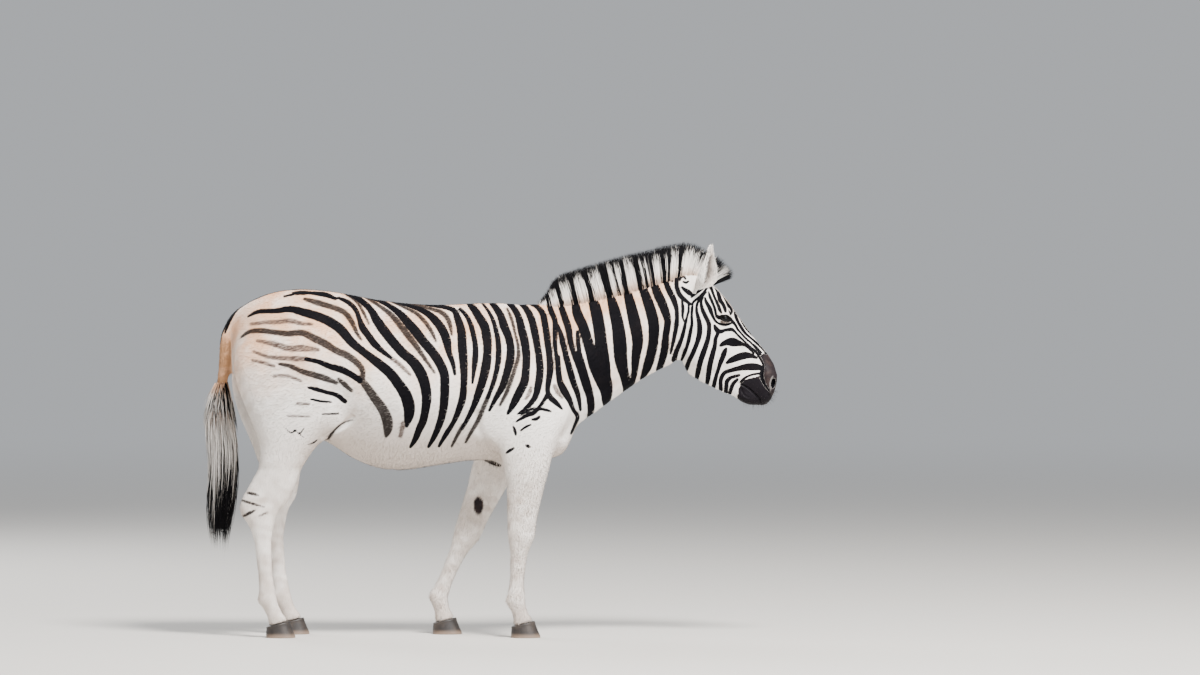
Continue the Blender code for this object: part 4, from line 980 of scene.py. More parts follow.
def carve_nostrils(places):
    """Sinks each nostril into the muzzle and raises a soft rim round it."""
    _, out = nostril_place(places)
    push = fade(out, 1.05, 0.55) * NOSTRIL_DEPTH - np.exp(-(((out - 1.35) / 0.30) ** 2)) * NOSTRIL_RIM
    for side in (1, -1):
        mine = (places[:, 1] * side > 0.008) & (places[:, 0] > 1.09)
        places += (push * mine)[:, None] * mirrored((-0.45, -0.85, 0.10), side)
    return places


def soft_push(places, centre, radii, push, turn=0):
    """A push that fades out smoothly round its centre. Sizes are in mm, turn in degrees."""
    angle = math.radians(turn)
    x, y, z = (places - np.array(centre) / 1000).T
    along = x * math.cos(angle) - z * math.sin(angle)
    up = x * math.sin(angle) + z * math.cos(angle)
    return push / 1000 * np.exp(-((columns(along, y, up) / radii * 1000) ** 2).sum(axis=1))


def shape_forms(places, normals):
    """Bones, muscles and creases as soft pushes along the skin's own normals."""
    one_side = columns(*folded(places))
    moves = sum(soft_push(one_side, *form) for form in FORMS.values())
    for radii, push, centres in LEG_FORMS.values():
        for side, centre in centres.items():
            moves += soft_push(places * (1, side, 1), centre, radii, push)
    for line, half_width, depth, start in CREASES.values():
        inside = line_depth(places[:, ::2], line, half_width)
        from_middle = fade(one_side[:, 1], start, start * 1.3 + 0.012)
        moves -= depth * fade(inside, -half_width * 0.6, half_width) * from_middle
    return places + normals * moves[:, None]


def coat_depth(places):
    x, _, z = places.T
    head = on_head(x, z)
    depth = COAT_DEPTH_BODY + (COAT_DEPTH_LEG - COAT_DEPTH_BODY) * leg_share(z)
    return np.where(head, COAT_DEPTH_HEAD, depth)


def make_skin(material):
    skin = swollen_nodes(FLESH_NODES + EYE_NODES)
    remesh = skin.modifiers.new("melt", "REMESH")
    remesh.mode = "VOXEL"
    remesh.voxel_size = SKIN_GRAIN
    skin = baked(skin)
    skin.name = "hide"
    mesh = skin.data
    refine(mesh, on_head)
    refine(mesh, lambda x, z: any(math.hypot(x - px, z - pz) < reach for px, pz, reach in FINE_SPOTS))
    x, _, z = places_of(mesh).T
    barrel = fade(z, 0.66, 0.82) * fade(x, 0.45, 0.30)
    passes = SKIN_PASSES + BARREL_PASSES * barrel - LEG_PASSES_LESS * leg_share(z)
    put_places(mesh, smoothed(mesh, passes))
    normals = normals_of(mesh)
    places = places_of(mesh)
    swell = NODE_SWELL - 0.0006 * (1 - barrel)
    places -= normals * (swell + coat_depth(places))[:, None]
    places = carve_nostrils(carve_eyes(shape_forms(places, normals)))
    places[:, 2] = np.maximum(places[:, 2], SKIN_BOTTOM)
    put_places(mesh, places)
    mesh.polygons.foreach_set("use_smooth", np.ones(len(mesh.polygons), bool))
    marks = markings(places, normals_of(mesh))
    set_marks(mesh, {**marks, "lie": lie_of(places), "shade": np.ones(len(places))})
    mesh.materials.clear()
    mesh.materials.append(material)
    return skin


# ---------- how the hair lies
def lie_of(places):
    """0 where the hair runs back along the body and 1 where it hangs down."""
    x, _, z = places.T
    hang = fade(z, 0.92, 0.70)
    return np.maximum(hang, fade(x, 0.18, 0.40) * 0.8)


def towards(heading, aim, share):
    """Headings turned towards an aim, each by its own share."""
    return np.array(heading) * (1 - share[:, None]) + np.array(aim) * share[:, None]


def hair_heading(places, normals):
    """The way that the coat's hairs point, along the skin."""
    x, y, z = places.T
    heading = columns(-1.0, np.sign(y) * 0.10, -0.30)
    heading = towards(heading, (-0.62, 0.0, -0.80), fade(x, 0.20, 0.40))
    heading = towards(heading, (-0.12, 0.0, -1.0), leg_share(z - 0.12))
    face = towards((-0.45, 0.0, -0.85), (0.50, 0.0, -0.82), fade(x - z * 0.6, 0.26, 0.36))
    heading = np.where(on_head(x, z)[:, None], face, heading)
    heading = towards(heading, (-0.12, 0.0, -1.0), fade(x, -0.98, -1.04))
    heading = heading + columns(*(waves(places, 0.09, 31 + axis) for axis in range(3))) * 0.16
    return unit(heading - normals * (heading * normals).sum(axis=1)[:, None])


# ---------- locks of hair
def grow_locks(
    name, material, roots, tips, bends, half_widths, segments, marks, atlas, flat=0.55, facing=(0, -1, 0)
):
    """Closed three-sided tapering locks from roots to tips, each bowed by its bend, as one object.

    marks are one value for each lock. atlas is each root's place on its own unwrap."""
    count = len(roots)
    run = unit(tips - roots)
    side = unit(np.cross(run, facing))
    lift = np.cross(side, run)
    rings, shares, turns = [], [], []
    for k in range(segments):
        t = k / segments
        centre = roots + (tips - roots) * t + bends * (4 * t * (1 - t))
        width = half_widths * (1 - t**1.6) * (0.72 + 0.28 * math.sin(math.pi * min(t * 1.4, 1)))
        for turn, (a, b) in enumerate(((1.0, 0.0), (-0.5, flat), (-0.5, -flat))):
            rings.append(centre + side * (width * a)[:, None] + lift * (width * b)[:, None])
            shares.append(t)
            turns.append(turn / 3)
    rings.append(tips)
    shares.append(1.0)
    turns.append(0.5)
    per_lock = len(rings)
    last = per_lock - 4
    ends = np.array([(0, 2, 1)] + [(last + a, last + (a + 1) % 3, per_lock - 1) for a in range(3)])
    quads = tube_quads(segments, 3)
    base = (np.arange(count) * per_lock)[:, None]
    corners = np.concatenate([(base + ends.ravel()).ravel(), (base + quads.ravel()).ravel()])
    sides = np.repeat([3, 4], [count * len(ends), count * len(quads)])
    every = {key: np.repeat(values, per_lock) for key, values in marks.items()}
    every["along"] = np.tile(shares, count)
    patch = np.repeat(atlas, per_lock, axis=0)
    patch += columns(np.tile(shares, count), np.tile(turns, count)) * ATLAS_PATCH
    places = np.stack(rings, axis=1).reshape(-1, 3)
    return make_object(name, places, corners, sides, every, material, True, np.clip(patch, 0, 1))


class Unwrap:
    """A coarse copy of the skin, laid flat, that gives any root its place on the flat sheet."""

    def __init__(self, skin):
        sheet = in_scene("sheet", skin.data.copy())
        thin = sheet.modifiers.new("thin", "DECIMATE")
        thin.ratio = UNWRAP_FACES / len(sheet.data.polygons)
        baked(sheet)
        for other in bpy.context.selected_objects:
            other.select_set(False)
        bpy.context.view_layer.objects.active = sheet
        sheet.select_set(True)
        bpy.ops.object.mode_set(mode="EDIT")
        bpy.ops.mesh.select_all(action="SELECT")
        bpy.ops.uv.smart_project(angle_limit=math.radians(70), island_margin=0.002)
        bpy.ops.object.mode_set(mode="OBJECT")
        mesh = sheet.data
        mesh.calc_loop_triangles()
        threes = [tuple(three.vertices) for three in mesh.loop_triangles]
        loops = np.array([tuple(three.loops) for three in mesh.loop_triangles])
        places = places_of(mesh)
        flat = np.empty(len(mesh.loops) * 2)
        mesh.uv_layers.active.data.foreach_get("uv", flat)
        self.flat = flat.reshape(-1, 2)[loops]
        self.threes = places[np.array(threes)]
        self.tree = BVHTree.FromPolygons(places.tolist(), threes)
        bpy.data.objects.remove(sheet)
        bpy.data.meshes.remove(mesh)

    def at(self, roots):
        """Each root's place on the sheet, by the shares of the nearest triangle's corners."""
        found = np.array([self.tree.find_nearest(root)[2] for root in roots.tolist()])
        reach = self.threes[found] - roots[:, None]
        parts = np.cross(np.roll(reach, -1, axis=1), np.roll(reach, -2, axis=1))
        whole = parts.sum(axis=1)
        share = (parts * whole[:, None]).sum(axis=2) / np.maximum((whole**2).sum(axis=1), 1e-14)[:, None]
        share = np.clip(share, 0, 1)
        share /= share.sum(axis=1)[:, None]
        return (self.flat[found] * share[:, :, None]).sum(axis=1)


# ---------- short coat
def coat_piece(places):
    """Number of the coat piece that each root belongs to."""
    x, y, z = places.T
    piece = np.where(y < 0, 0, 1)
    piece = np.where(x > 0.30, 2, piece)
    piece = np.where((z < 0.70) & (x > -1.0), 3, piece)
    return np.where(on_head(x, z), 4, piece)


def scatter(mesh, count, density):
    """Roots spread evenly over a mesh by area times density, with the skin's normal at each."""
    mesh.calc_loop_triangles()
    corners = np.empty(len(mesh.loop_triangles) * 3, np.int32)
    mesh.loop_triangles.foreach_get("vertices", corners)
    corners = corners.reshape(-1, 3)
    places, normals = places_of(mesh), normals_of(mesh)
    a, b, c = (places[corners[:, k]] for k in range(3))
    area = np.linalg.norm(np.cross(b - a, c - a), axis=1) / 2
    weight = np.cumsum(area * density((a + b + c) / 3))
    steps = (np.arange(count) + rng.uniform(size=count)) / count
    chosen = np.searchsorted(weight, steps * weight[-1])
    chosen = np.minimum(chosen, len(corners) - 1)
    u, v = rng.uniform(size=(2, count))
    flip = u + v > 1
    u, v = np.where(flip, 1 - u, u), np.where(flip, 1 - v, v)
    shares = np.stack([1 - u - v, u, v], axis=1)[:, :, None]
    at = corners[chosen]
    return (places[at] * shares).sum(axis=1), unit((normals[at] * shares).sum(axis=1))


def coat_density(places):
    x, y, z = folded(places)
    head = on_head(x, z)
    density = np.where(head, COAT_DENSITY["head"], COAT_DENSITY["body"])
    density = np.where(leg_share(z) > 0.5, COAT_DENSITY["leg"], density)
    eye = np.linalg.norm((places - (EYE_CENTRE[0], 0, EYE_CENTRE[2]))[:, ::2] / (0.027, 0.021), axis=1)
    density = np.where((eye < 1.0) & (y > 0.045) & head, 0.0, density)
    nostril = np.hypot(x - NOSTRIL_CENTRE[0], z - NOSTRIL_CENTRE[2])
    density = np.where((nostril < 0.026) & head, 0.0, density)
    mouth = line_depth(places[:, ::2], CREASES["mouth"][0], 0.006)
    density = np.where((mouth > 0) & head, 0.0, density)
    return np.where(z < 0.05, 0.0, density)


def make_coat(skin, unwrap, material):
    roots, normals = scatter(skin.data, BLADE_COUNT, coat_density)
    marks = markings(roots, normals)
    heading = hair_heading(roots, normals)
    x, _, z = roots.T
    head, legs = on_head(x, z), leg_share(z)
    length = BLADE_LENGTH["body"] + (BLADE_LENGTH["leg"] - BLADE_LENGTH["body"]) * legs
    length = np.where(head, BLADE_LENGTH["head"], length)
    longer = fade(z, 0.80, 0.68) * fade(x, 0.30, 0.20) * fade(x, -0.55, -0.45)
    jaw = head & (normals[:, 2] < -0.45)
    length = length + LONG_BLADE * (longer + jaw + fade(marks["tan"], 1.0, 1.7))
    length = length * (1 - 0.45 * np.minimum(marks["dark"], 1)) * rng.uniform(0.75, 1.25, len(roots))
    lift = (np.where(head, 0.10, 0.16) - 0.06 * legs) * rng.uniform(0.6, 1.4, len(roots)) + 0.20 * longer
    tips = roots + unit(heading + normals * lift[:, None]) * length[:, None]
    starts = roots - normals * BLADE_ROOT
    width = np.where(head, BLADE_HALF_WIDTH["head"], BLADE_HALF_WIDTH["body"])
    width = width * rng.uniform(0.8, 1.3, len(roots))
    over = markings(tips, normals)
    crossing = (marks["black"] > 0) != (over["black"] > 0)
    crossing |= (marks["dark"] > 0.5) != (over["dark"] > 0.5)
    crossing &= rng.uniform(size=len(roots)) > CROSSING_SHARE
    marks["lie"] = lie_of(roots)
    marks["shade"] = rng.uniform(0.93, 1.07, len(roots))
    atlas = unwrap.at(roots)
    piece = coat_piece(roots)
    for number, name in enumerate(COAT_PIECES):
        mine = np.nonzero((piece == number) & ~crossing)[0]
        coat = grow_locks(
            name, material, starts[mine], tips[mine], normals[mine] * 0.0008, width[mine], 1,
            {key: values[mine] for key, values in marks.items()}, atlas[mine], 0.45, normals[mine],
        )
        keep(coat)


def keep(made):
    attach(made, "root")
    return made


# ---------- mane and forelock
def make_mane_core(material):
    """A closed slim plate under the hairs, of the mane's own outline drawn in a little."""
    rows = smooth_rows(MANE, 4)
    share = np.array((-0.10, 0.5, MANE_CORE_REACH, MANE_CORE_REACH, 0.5, -0.10))
    half = np.hstack([-rows[:, 4:], rows[:, :3:-1]]) * MANE_CORE_BREADTH
    cx, cz, tx, tz = rows[:, :4].T[:, :, None]
    places = np.stack([cx + (tx - cx) * share, half, cz + (tz - cz) * share], axis=2).reshape(-1, 3)
    marks = mane_marks(places, places, np.ones(len(places)))
    marks["along"] = np.tile(np.maximum(share, 0), len(rows))
    core = filled_tube("mane_core", places, len(share), marks, material)
    keep(core)
    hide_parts("mane")


def mane_marks(low, high, shade):
    """Black and tan of the hairs: each takes the stripe that it grows out of."""
    flat = seen_from_side(low * 0.45 + high * 0.55)
    flat[:, 0] += waves(low, 0.05, 51) * 0.004
    return {"black": stroke_depth(flat, BLACK_STROKES), "tan": np.full(len(low), 0.65), "shade": shade}


def make_mane(material):
    rows = smooth_rows(MANE, 6)
    run = np.concatenate([[0], np.cumsum(np.linalg.norm(np.diff(rows[:, :2], axis=0), axis=1))])
    count = MANE_LOCKS
    for name, side in (("mane_right", -1), ("mane_left", 1)):
        place = rng.uniform(0, 1, count)
        at = np.interp(place * run[-1], run, np.linspace(0, 1, len(rows)))
        cx, cz, tx, tz, root, middle, tip = row_at(rows, at).T
        out = rng.uniform(0, 1, count) ** 0.6
        roots = columns(cx, side * root * out * 0.92, cz - 0.012 - 0.016 * out)
        length = (1.03 - 0.22 * rng.uniform(0, 1, count) ** 1.7) * (1 - 0.07 * out)
        clump = waves(columns(cx, float(side), 0.0), 0.030, 61)
        lean = rng.normal(0, 0.0055, count) + clump * 0.0045
        lean -= MANE_LEAN * fade(cx, 0.24, 0.32) * fade(cx, 0.74, 0.60)
        ends = columns(
            cx + (tx - cx) * length + lean,
            side * (tip + 0.004) * out * rng.uniform(0.2, 1.1, count),
            cz + (tz - cz) * length,
        )
        bends = columns(rng.normal(0, 0.0022, count), side * (middle - (root + tip) / 2 + 0.001) * out, 0.0)
        shade = rng.uniform(0.92, 1.08, count) * np.where(rng.uniform(size=count) < 0.12, 0.66, 1.0)
        marks = mane_marks(roots, ends, shade)
        marks["black"] += 0.0032 + rng.normal(0, 0.0026, count)
        streak = waves(columns(cx, out * 0.01, 0.0), 0.011, 63)
        marks["black"] = np.maximum(marks["black"], (streak - 1.35 + 0.55 * fade(cx, 0.758, 0.775)) * 0.02)
        marks["tip"] = 0.80 + 0.07 * clump + 0.06 * streak + rng.uniform(-0.13, 0.13, count)
        marks["tip"] += 0.04 * fade(cx, 0.72, 0.78)
        width = rng.uniform(*MANE_LOCK_WIDTH, count)
        atlas = columns(0.002 + 0.990 * place, 0.01 + 0.97 * out)
        mane = grow_locks(name, material, roots, ends, bends, width, 3, marks, atlas, 0.6, (0, side, 0))
        keep(mane)
    make_mane_core(material)


def make_forelock(material):
    rows = smooth_rows(FORELOCK, 5)
    count = FORELOCK_LOCKS
    place = rng.uniform(0, 1, count)
    cx, cz, tx, tz, root, _, tip = row_at(rows, place).T
    out = rng.uniform(-1, 1, count)
    length = rng.uniform(0.70, 1.03, count)
    roots = columns(cx - 0.010, root * out, cz - 0.006)
    ends = columns(
        cx + (tx - cx) * length + rng.normal(0, 0.003, count),
        tip * 1.6 * out + rng.normal(0, 0.003, count),
        cz + (tz - cz) * length + rng.normal(0, 0.003, count),
    )
    bends = columns(0.004, 0.003 * out, 0.009)
    down = place + rng.normal(0, 0.05, count)
    band = np.maximum(FORELOCK_TOP - down, down - FORELOCK_BOTTOM)
    streak = np.abs(waves(columns(place, out * 0.2, 0.0), 0.16, 71)) - 0.85
    marks = {
        "black": np.maximum(band * 0.05, streak * 0.01),
        "tan": np.full(count, 0.2),
        "shade": rng.uniform(0.72, 1.05, count),
        "tip": rng.uniform(0.84, 0.97, count),
    }
    width = rng.uniform(*FORELOCK_LOCK_WIDTH, count)
    atlas = columns(0.01 + 0.97 * place, 0.5 + 0.48 * out)
    lock = grow_locks("forelock_locks", material, roots, ends, bends, width, 4, marks, atlas, 0.6)
    keep(lock)
    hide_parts("forelock")


# ---------- tail
def tail_point(rows, share, turn, reach):
    """Points round the tassel's middle line: share runs down it, and its outline lies at reach 1."""
    x, z, deep, wide = row_at(rows, share).T
    return columns(x + np.cos(turn) * deep * reach, np.sin(turn) * wide * reach, z)


def make_tail(material):
    rows = smooth_rows(TAIL_TUFT, 5)
    count = TASSEL_LOCKS
    start = rng.uniform(0, 1, count) ** 1.5 * 0.62
    fringe = np.arange(count) < FRINGE_LOCKS
    turn = rng.uniform(0, 2 * math.pi, count)
    outer = rng.uniform(0.30, 1.0, count) ** 0.7
    begin = tail_point(rows, start * 0.9, turn, outer * 0.75)
    cz = begin[:, 2].copy()
    begin[:, 2] += 0.02
    rise = rng.uniform(0.0, 1.0, count) * FRINGE_REACH
    dock_x = np.interp(rise, (0.0, 0.12, FRINGE_REACH), (-1.087, -1.070, -1.060))
    on_dock = columns(dock_x + np.cos(turn) * FRINGE_RADIUS, np.sin(turn) * FRINGE_RADIUS, FRINGE_FOOT + rise)
    begin = np.where(fringe[:, None], on_dock, begin)
    start = np.where(fringe, 0.0, start)
    outer = np.where(fringe, 1.12, outer)
    reach = np.where(fringe, rng.uniform(0.04, 0.30, count), rng.uniform(0.34, 0.62, count))
    end = np.clip(start + reach, 0, 1)
    drift = rng.normal(0, 0.18, count)
    tips = tail_point(rows, end, turn + drift, outer * rng.uniform(0.85, 1.08, count))
    tips[:, 2] -= rng.uniform(0, 0.015, count)
    tips[:, 2] -= rng.normal(0, 0.022, count) * fade(end, 0.70, 0.95)
    through = tail_point(rows, (start + end) / 2, turn, outer)
    bends = (through - (begin + tips) / 2) * np.where(fringe, 0.35, 1.0)[:, None] * (1, 1, 0.3)
    bends += rng.normal(0, 0.0035, bends.shape)
    # Pale hair hangs over a black core, which shows more and more towards the end.
    pale = 0.95 - 1.20 * fade(cz, 0.93, 0.74) + 0.30 * (outer - 0.6)
    pale = pale - 0.50 * np.cos(turn) * fade(cz, 0.93, 0.80)
    mottle = 0.30 + 0.70 * fade(cz, 0.90, 0.76)
    pale = pale + (waves(begin * (1, 1, 0.15), 0.022, 81) * 0.42 + rng.normal(0, 0.10, count)) * mottle
    marks = {
        "black": (0.5 - pale) * 0.02,
        "tan": np.clip(fade(begin[:, 2], 0.82, 1.00) + rng.normal(0, 0.1, count), 0, 1),
        "shade": rng.uniform(0.40, 0.92, count),
        "tip": rng.uniform(1.2, 1.6, count),
    }
    width = rng.uniform(*TASSEL_LOCK_WIDTH, count)
    facing = columns(np.cos(turn), np.sin(turn), 0.0)
    atlas = columns(0.01 + 0.97 * turn / (2 * math.pi), 0.01 + 0.97 * (0.95 - cz) / 0.60)
    tassel = grow_locks("tail_locks", material, begin, tips, bends, width, 6, marks, atlas, 0.6, facing)
    keep(tassel)
    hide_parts("tail_tuft")

    core_rows = smooth_rows(TAIL_TUFT, 3)[:-2]
    share = np.repeat(np.linspace(0, 1, len(core_rows)), TASSEL_CORE_POINTS)
    turn = np.tile(np.arange(TASSEL_CORE_POINTS) * 2 * math.pi / TASSEL_CORE_POINTS, len(core_rows))
    places = tail_point(core_rows, share, turn, TASSEL_CORE)
    marks = even_marks(len(places), tan=0.3, shade=0.6, tip=1.5, along=0.4)
    marks["black"] = 0.012 - 0.03 * fade(places[:, 2], 0.74, 0.92)
    keep(filled_tube("tail_core", places, TASSEL_CORE_POINTS, marks, material))


# ---------- ears
def ear_frame(side):
    root, tip = mirrored(EAR_ROOT, side), mirrored(EAR_TIP, side)
    along = unit(tip - root)
    turn = math.radians(EAR_OPENING_TURN)
    opening = mirrored((math.cos(turn), math.sin(turn), 0.0), side)
    opening = unit(opening - along * (opening @ along))
    return root, tip, along, opening, np.cross(along, opening)


def ear_points(side, share, v, lift=0.0):
    """Points on the ear's curled sheet: share runs up it, v across it from -1 to 1, lift off its face."""
    root, tip, _, opening, across = ear_frame(side)
    half = np.interp(share, np.linspace(0, 1, len(EAR_HALF_WIDTHS)), EAR_HALF_WIDTHS)
    curl = EAR_CUP * (1 - 0.55 * share)
    middle = root + (tip - root) * share[:, None] + opening * (0.006 * np.sin(np.pi * share))[:, None]
    wide = half * np.sin(curl * v) / np.sin(np.minimum(curl, 1.5))
    deep = half * (0.85 - np.cos(curl * v))
    points = middle + across * wide[:, None] + opening * deep[:, None]
    inward = unit(-across * np.sin(curl * v)[:, None] + opening * np.cos(curl * v)[:, None])
    return points + inward * np.broadcast_to(lift, share.shape)[:, None], inward


def make_ears(shell_material, hair_material):
    """Each ear is a curled shell with a rolled rim, lined with hair."""
    rows, cols = np.linspace(-0.10, 1.0, EAR_ROWS), np.linspace(-1, 1, EAR_COLUMNS)
    share, v = (a.ravel() for a in np.meshgrid(rows, cols, indexing="ij"))
    up = np.clip(share, 0, 1)
    thin = EAR_THICKNESS / 2 * (1 - 0.55 * np.abs(v) ** 6) * (1 - 0.5 * fade(up, 0.75, 1.0))
    ripple = waves(columns(v * 0.03, up * 0.10, 0.0), 0.02, 91) * 0.0004
    size = len(share)
    marks = ear_marks(np.tile(up, 2), np.tile(v, 2), np.repeat([0.0, 1.0], size))
    # Each row of the shell runs up the inner face's columns and back down the outer face's.
    inner = np.arange(size).reshape(EAR_ROWS, EAR_COLUMNS)
    loop = np.hstack([inner, size + inner[:, ::-1]])
    after = np.roll(loop, -1, axis=1)
    walls = np.stack([loop[:-1], loop[1:], after[1:], after[:-1]], axis=2).reshape(-1, 4)
    low, high = inner[0], inner[-1]
    foot = columns(low[:-1], low[1:], size + low[1:], size + low[:-1])
    top = columns(size + high[:-1], size + high[1:], high[1:], high[:-1])
    faces = np.concatenate([walls, foot, top])
    for side, name in ((-1, "right"), (1, "left")):
        drop = (up - share)[:, None] * np.linalg.norm(np.subtract(EAR_TIP, EAR_ROOT)) * ear_frame(side)[2]
        inner_face = ear_points(side, up, v, thin + ripple)[0] - drop
        outer_face = ear_points(side, up, v, -thin)[0] - drop
        corners = faces if side < 0 else faces[:, ::-1]
        places = np.concatenate([inner_face, outer_face])
        shell = make_object(
            f"ear_{name}_shell", places, corners.ravel(), np.full(len(faces), 4), marks, shell_material
        )
        keep(shell)
        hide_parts(f"ear_{name}")
        ear_hair(side, name, hair_material)


def ear_marks(share, v, is_outer):
    """The ear's back has a black band above its middle and a white tip; inside it is pale with a grey bed and
    painted shade deep in the cup.
    """
    inside = 1 - is_outer
    middle = (0.40 - np.abs(v)) * 0.02
    back = np.minimum(np.minimum(share - 0.46, 0.86 - share) * 0.12, middle) * is_outer - 0.03 * inside
    rim = (np.abs(v) - 0.95) * 0.05 * fade(share, 0.50, 0.75) - 0.0010
    return {
        **even_marks(len(share), brown=-0.03, faint=-0.03, tan=0.10, lie=1, shade=1),
        "black": np.maximum(back, rim),
        "dark": inside * fade(np.abs(v), 0.74, 0.30) * fade(share, 0.97, 0.60) * 0.85,
        # Painted shade deep inside the cup.
        "dust_and_painted_shade": inside * fade(np.abs(v), 0.86, 0.52) * 0.9,
    }


def ear_hair(side, name, material):
    """Long hair inside the cup, a fringe round its rim, and short hair on its back."""
    _, _, along, opening, _ = ear_frame(side)
    shares, across, starts, ends = [], [], [], []

    def grow(share, v, lift, lengths, shorter, heading, spread):
        roots, inward = ear_points(side, share, v, lift)
        length = rng.uniform(*lengths, len(share)) * (1 - shorter * share)
        off = unit(roots - ear_points(side, share, v * 0.0)[0])
        run = sum(part * weight for part, weight in zip((inward, along, opening, off), heading))
        shares.append(share)
        across.append(v)
        starts.append(roots)
        ends.append(roots + unit(run + rng.normal(0, spread, roots.shape)) * length[:, None])

    share, v = rng.uniform(0.02, 0.80, EAR_HAIRS), rng.uniform(-0.97, 0.97, EAR_HAIRS)
    grow(share, v, 0.0, EAR_HAIR_LENGTH, 0.45, (0.42, 0.75, 0.25, 0.0), 0.16)
    share = rng.uniform(0.04, 0.995, EAR_RIM_HAIRS)
    v = rng.choice([-1.0, 1.0], EAR_RIM_HAIRS) * rng.uniform(0.93, 1.0, EAR_RIM_HAIRS)
    grow(share, v, 0.0, EAR_RIM_HAIR_LENGTH, 0.0, (0.5, 0.9, 0.0, 0.25), 0.2)
    share, v = rng.uniform(0.0, 0.96, EAR_BACK_HAIRS), rng.uniform(-0.98, 0.98, EAR_BACK_HAIRS)
    grow(share, v, -EAR_THICKNESS / 2 + 0.0006, EAR_BACK_HAIR_LENGTH, 0.0, (-0.16, 1.0, 0.0, 0.0), 0.08)

    share, v, starts, ends = (np.concatenate(parts) for parts in (shares, across, starts, ends))
    counts = [EAR_HAIRS, EAR_RIM_HAIRS, EAR_BACK_HAIRS]
    is_outer = np.repeat([0.0, 0.0, 1.0], counts)
    marks = ear_marks(share, v, is_outer)
    marks["black"] = marks["black"] - 0.0015 * (1 - is_outer)
    marks["dark"] = marks["dark"] * 0.75 * (rng.uniform(size=len(starts)) < 0.65)
    marks["shade"] = rng.uniform(0.97, 1.10, len(starts))
    # Painted shade: the hair deep inside the cup is darkened.
    marks["shade"] -= 0.34 * (1 - is_outer) * fade(np.abs(v), 0.70, 0.35) * fade(share, 0.98, 0.75)
    width = np.concatenate([rng.uniform(*pair, count) for pair, count in zip(EAR_HAIR_WIDTHS, counts)])
    up = 0.5 + 0.48 * v
    atlas = columns(0.01 + 0.97 * share, np.where(is_outer > 0.5, up * 0.48, 0.5 + up * 0.48))
    bends = np.zeros_like(starts)
    hair = grow_locks(f"ear_{name}_hair", material, starts, ends, bends, width, 2, marks, atlas, 0.7)
    keep(hair)


# ---------- eyes, lids, lashes, whiskers
def make_eyes(ball_material, lid_material, hair_material):
    polar = np.repeat(np.arange(1, BALL_ROWS), BALL_COLUMNS)[:, None] * math.pi / BALL_ROWS
    turn = np.tile(np.arange(BALL_COLUMNS), BALL_ROWS - 1)[:, None] * 2 * math.pi / BALL_COLUMNS
    bulge = 1 + CORNEA_BULGE * np.exp(-((polar / 0.55) ** 2))
    front = np.append(np.cos(polar), (1.0, -1.0))
    quads = tube_quads(BALL_ROWS - 1, BALL_COLUMNS)
    ring = np.arange(BALL_COLUMNS)
    after = np.roll(ring, -1)
    last = len(polar) - BALL_COLUMNS
    tips = [columns(ring, after, len(polar)), columns(last + after, last + ring, len(polar) + 1)]
    corners = np.concatenate([quads.ravel(), *(fan.ravel() for fan in tips)])
    sides = [4] * len(quads) + [3] * BALL_COLUMNS * 2
    for side, name in ((-1, "right"), (1, "left")):
        centre = mirrored(EYE_CENTRE, side)
        along, across, out = eye_axes(side)
        round_it = np.sin(polar) * (along * np.cos(turn) - across * np.sin(turn) * side)
        places = (round_it + out * np.cos(polar)) * EYE_RADIUS * bulge
        places = np.vstack([places, out * EYE_RADIUS, -out * EYE_RADIUS]) + centre
        ball = make_object(f"eye_{name}_ball", places, corners, sides, {"front": front}, ball_material)
        tidy_normals(ball)
        keep(ball)
        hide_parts(f"eye_{name}")
        make_lids(name, centre, (along, across, out), lid_material, hair_material)


def tidy_normals(made):
    work = bmesh.new()
    work.from_mesh(made.data)
    bmesh.ops.recalc_face_normals(work, faces=work.faces)
    work.to_mesh(made.data)
    work.free()


def on_ball(centre, axes, s, t, radius):
    along, across, out = axes
    flat = (along * s[:, None] + across * t[:, None]) / EYE_RADIUS
    depth = np.sqrt(np.maximum(1 - (flat**2).sum(axis=1), 0.02))
    heading = flat + out * depth[:, None]
    return centre + heading * radius, unit(heading)


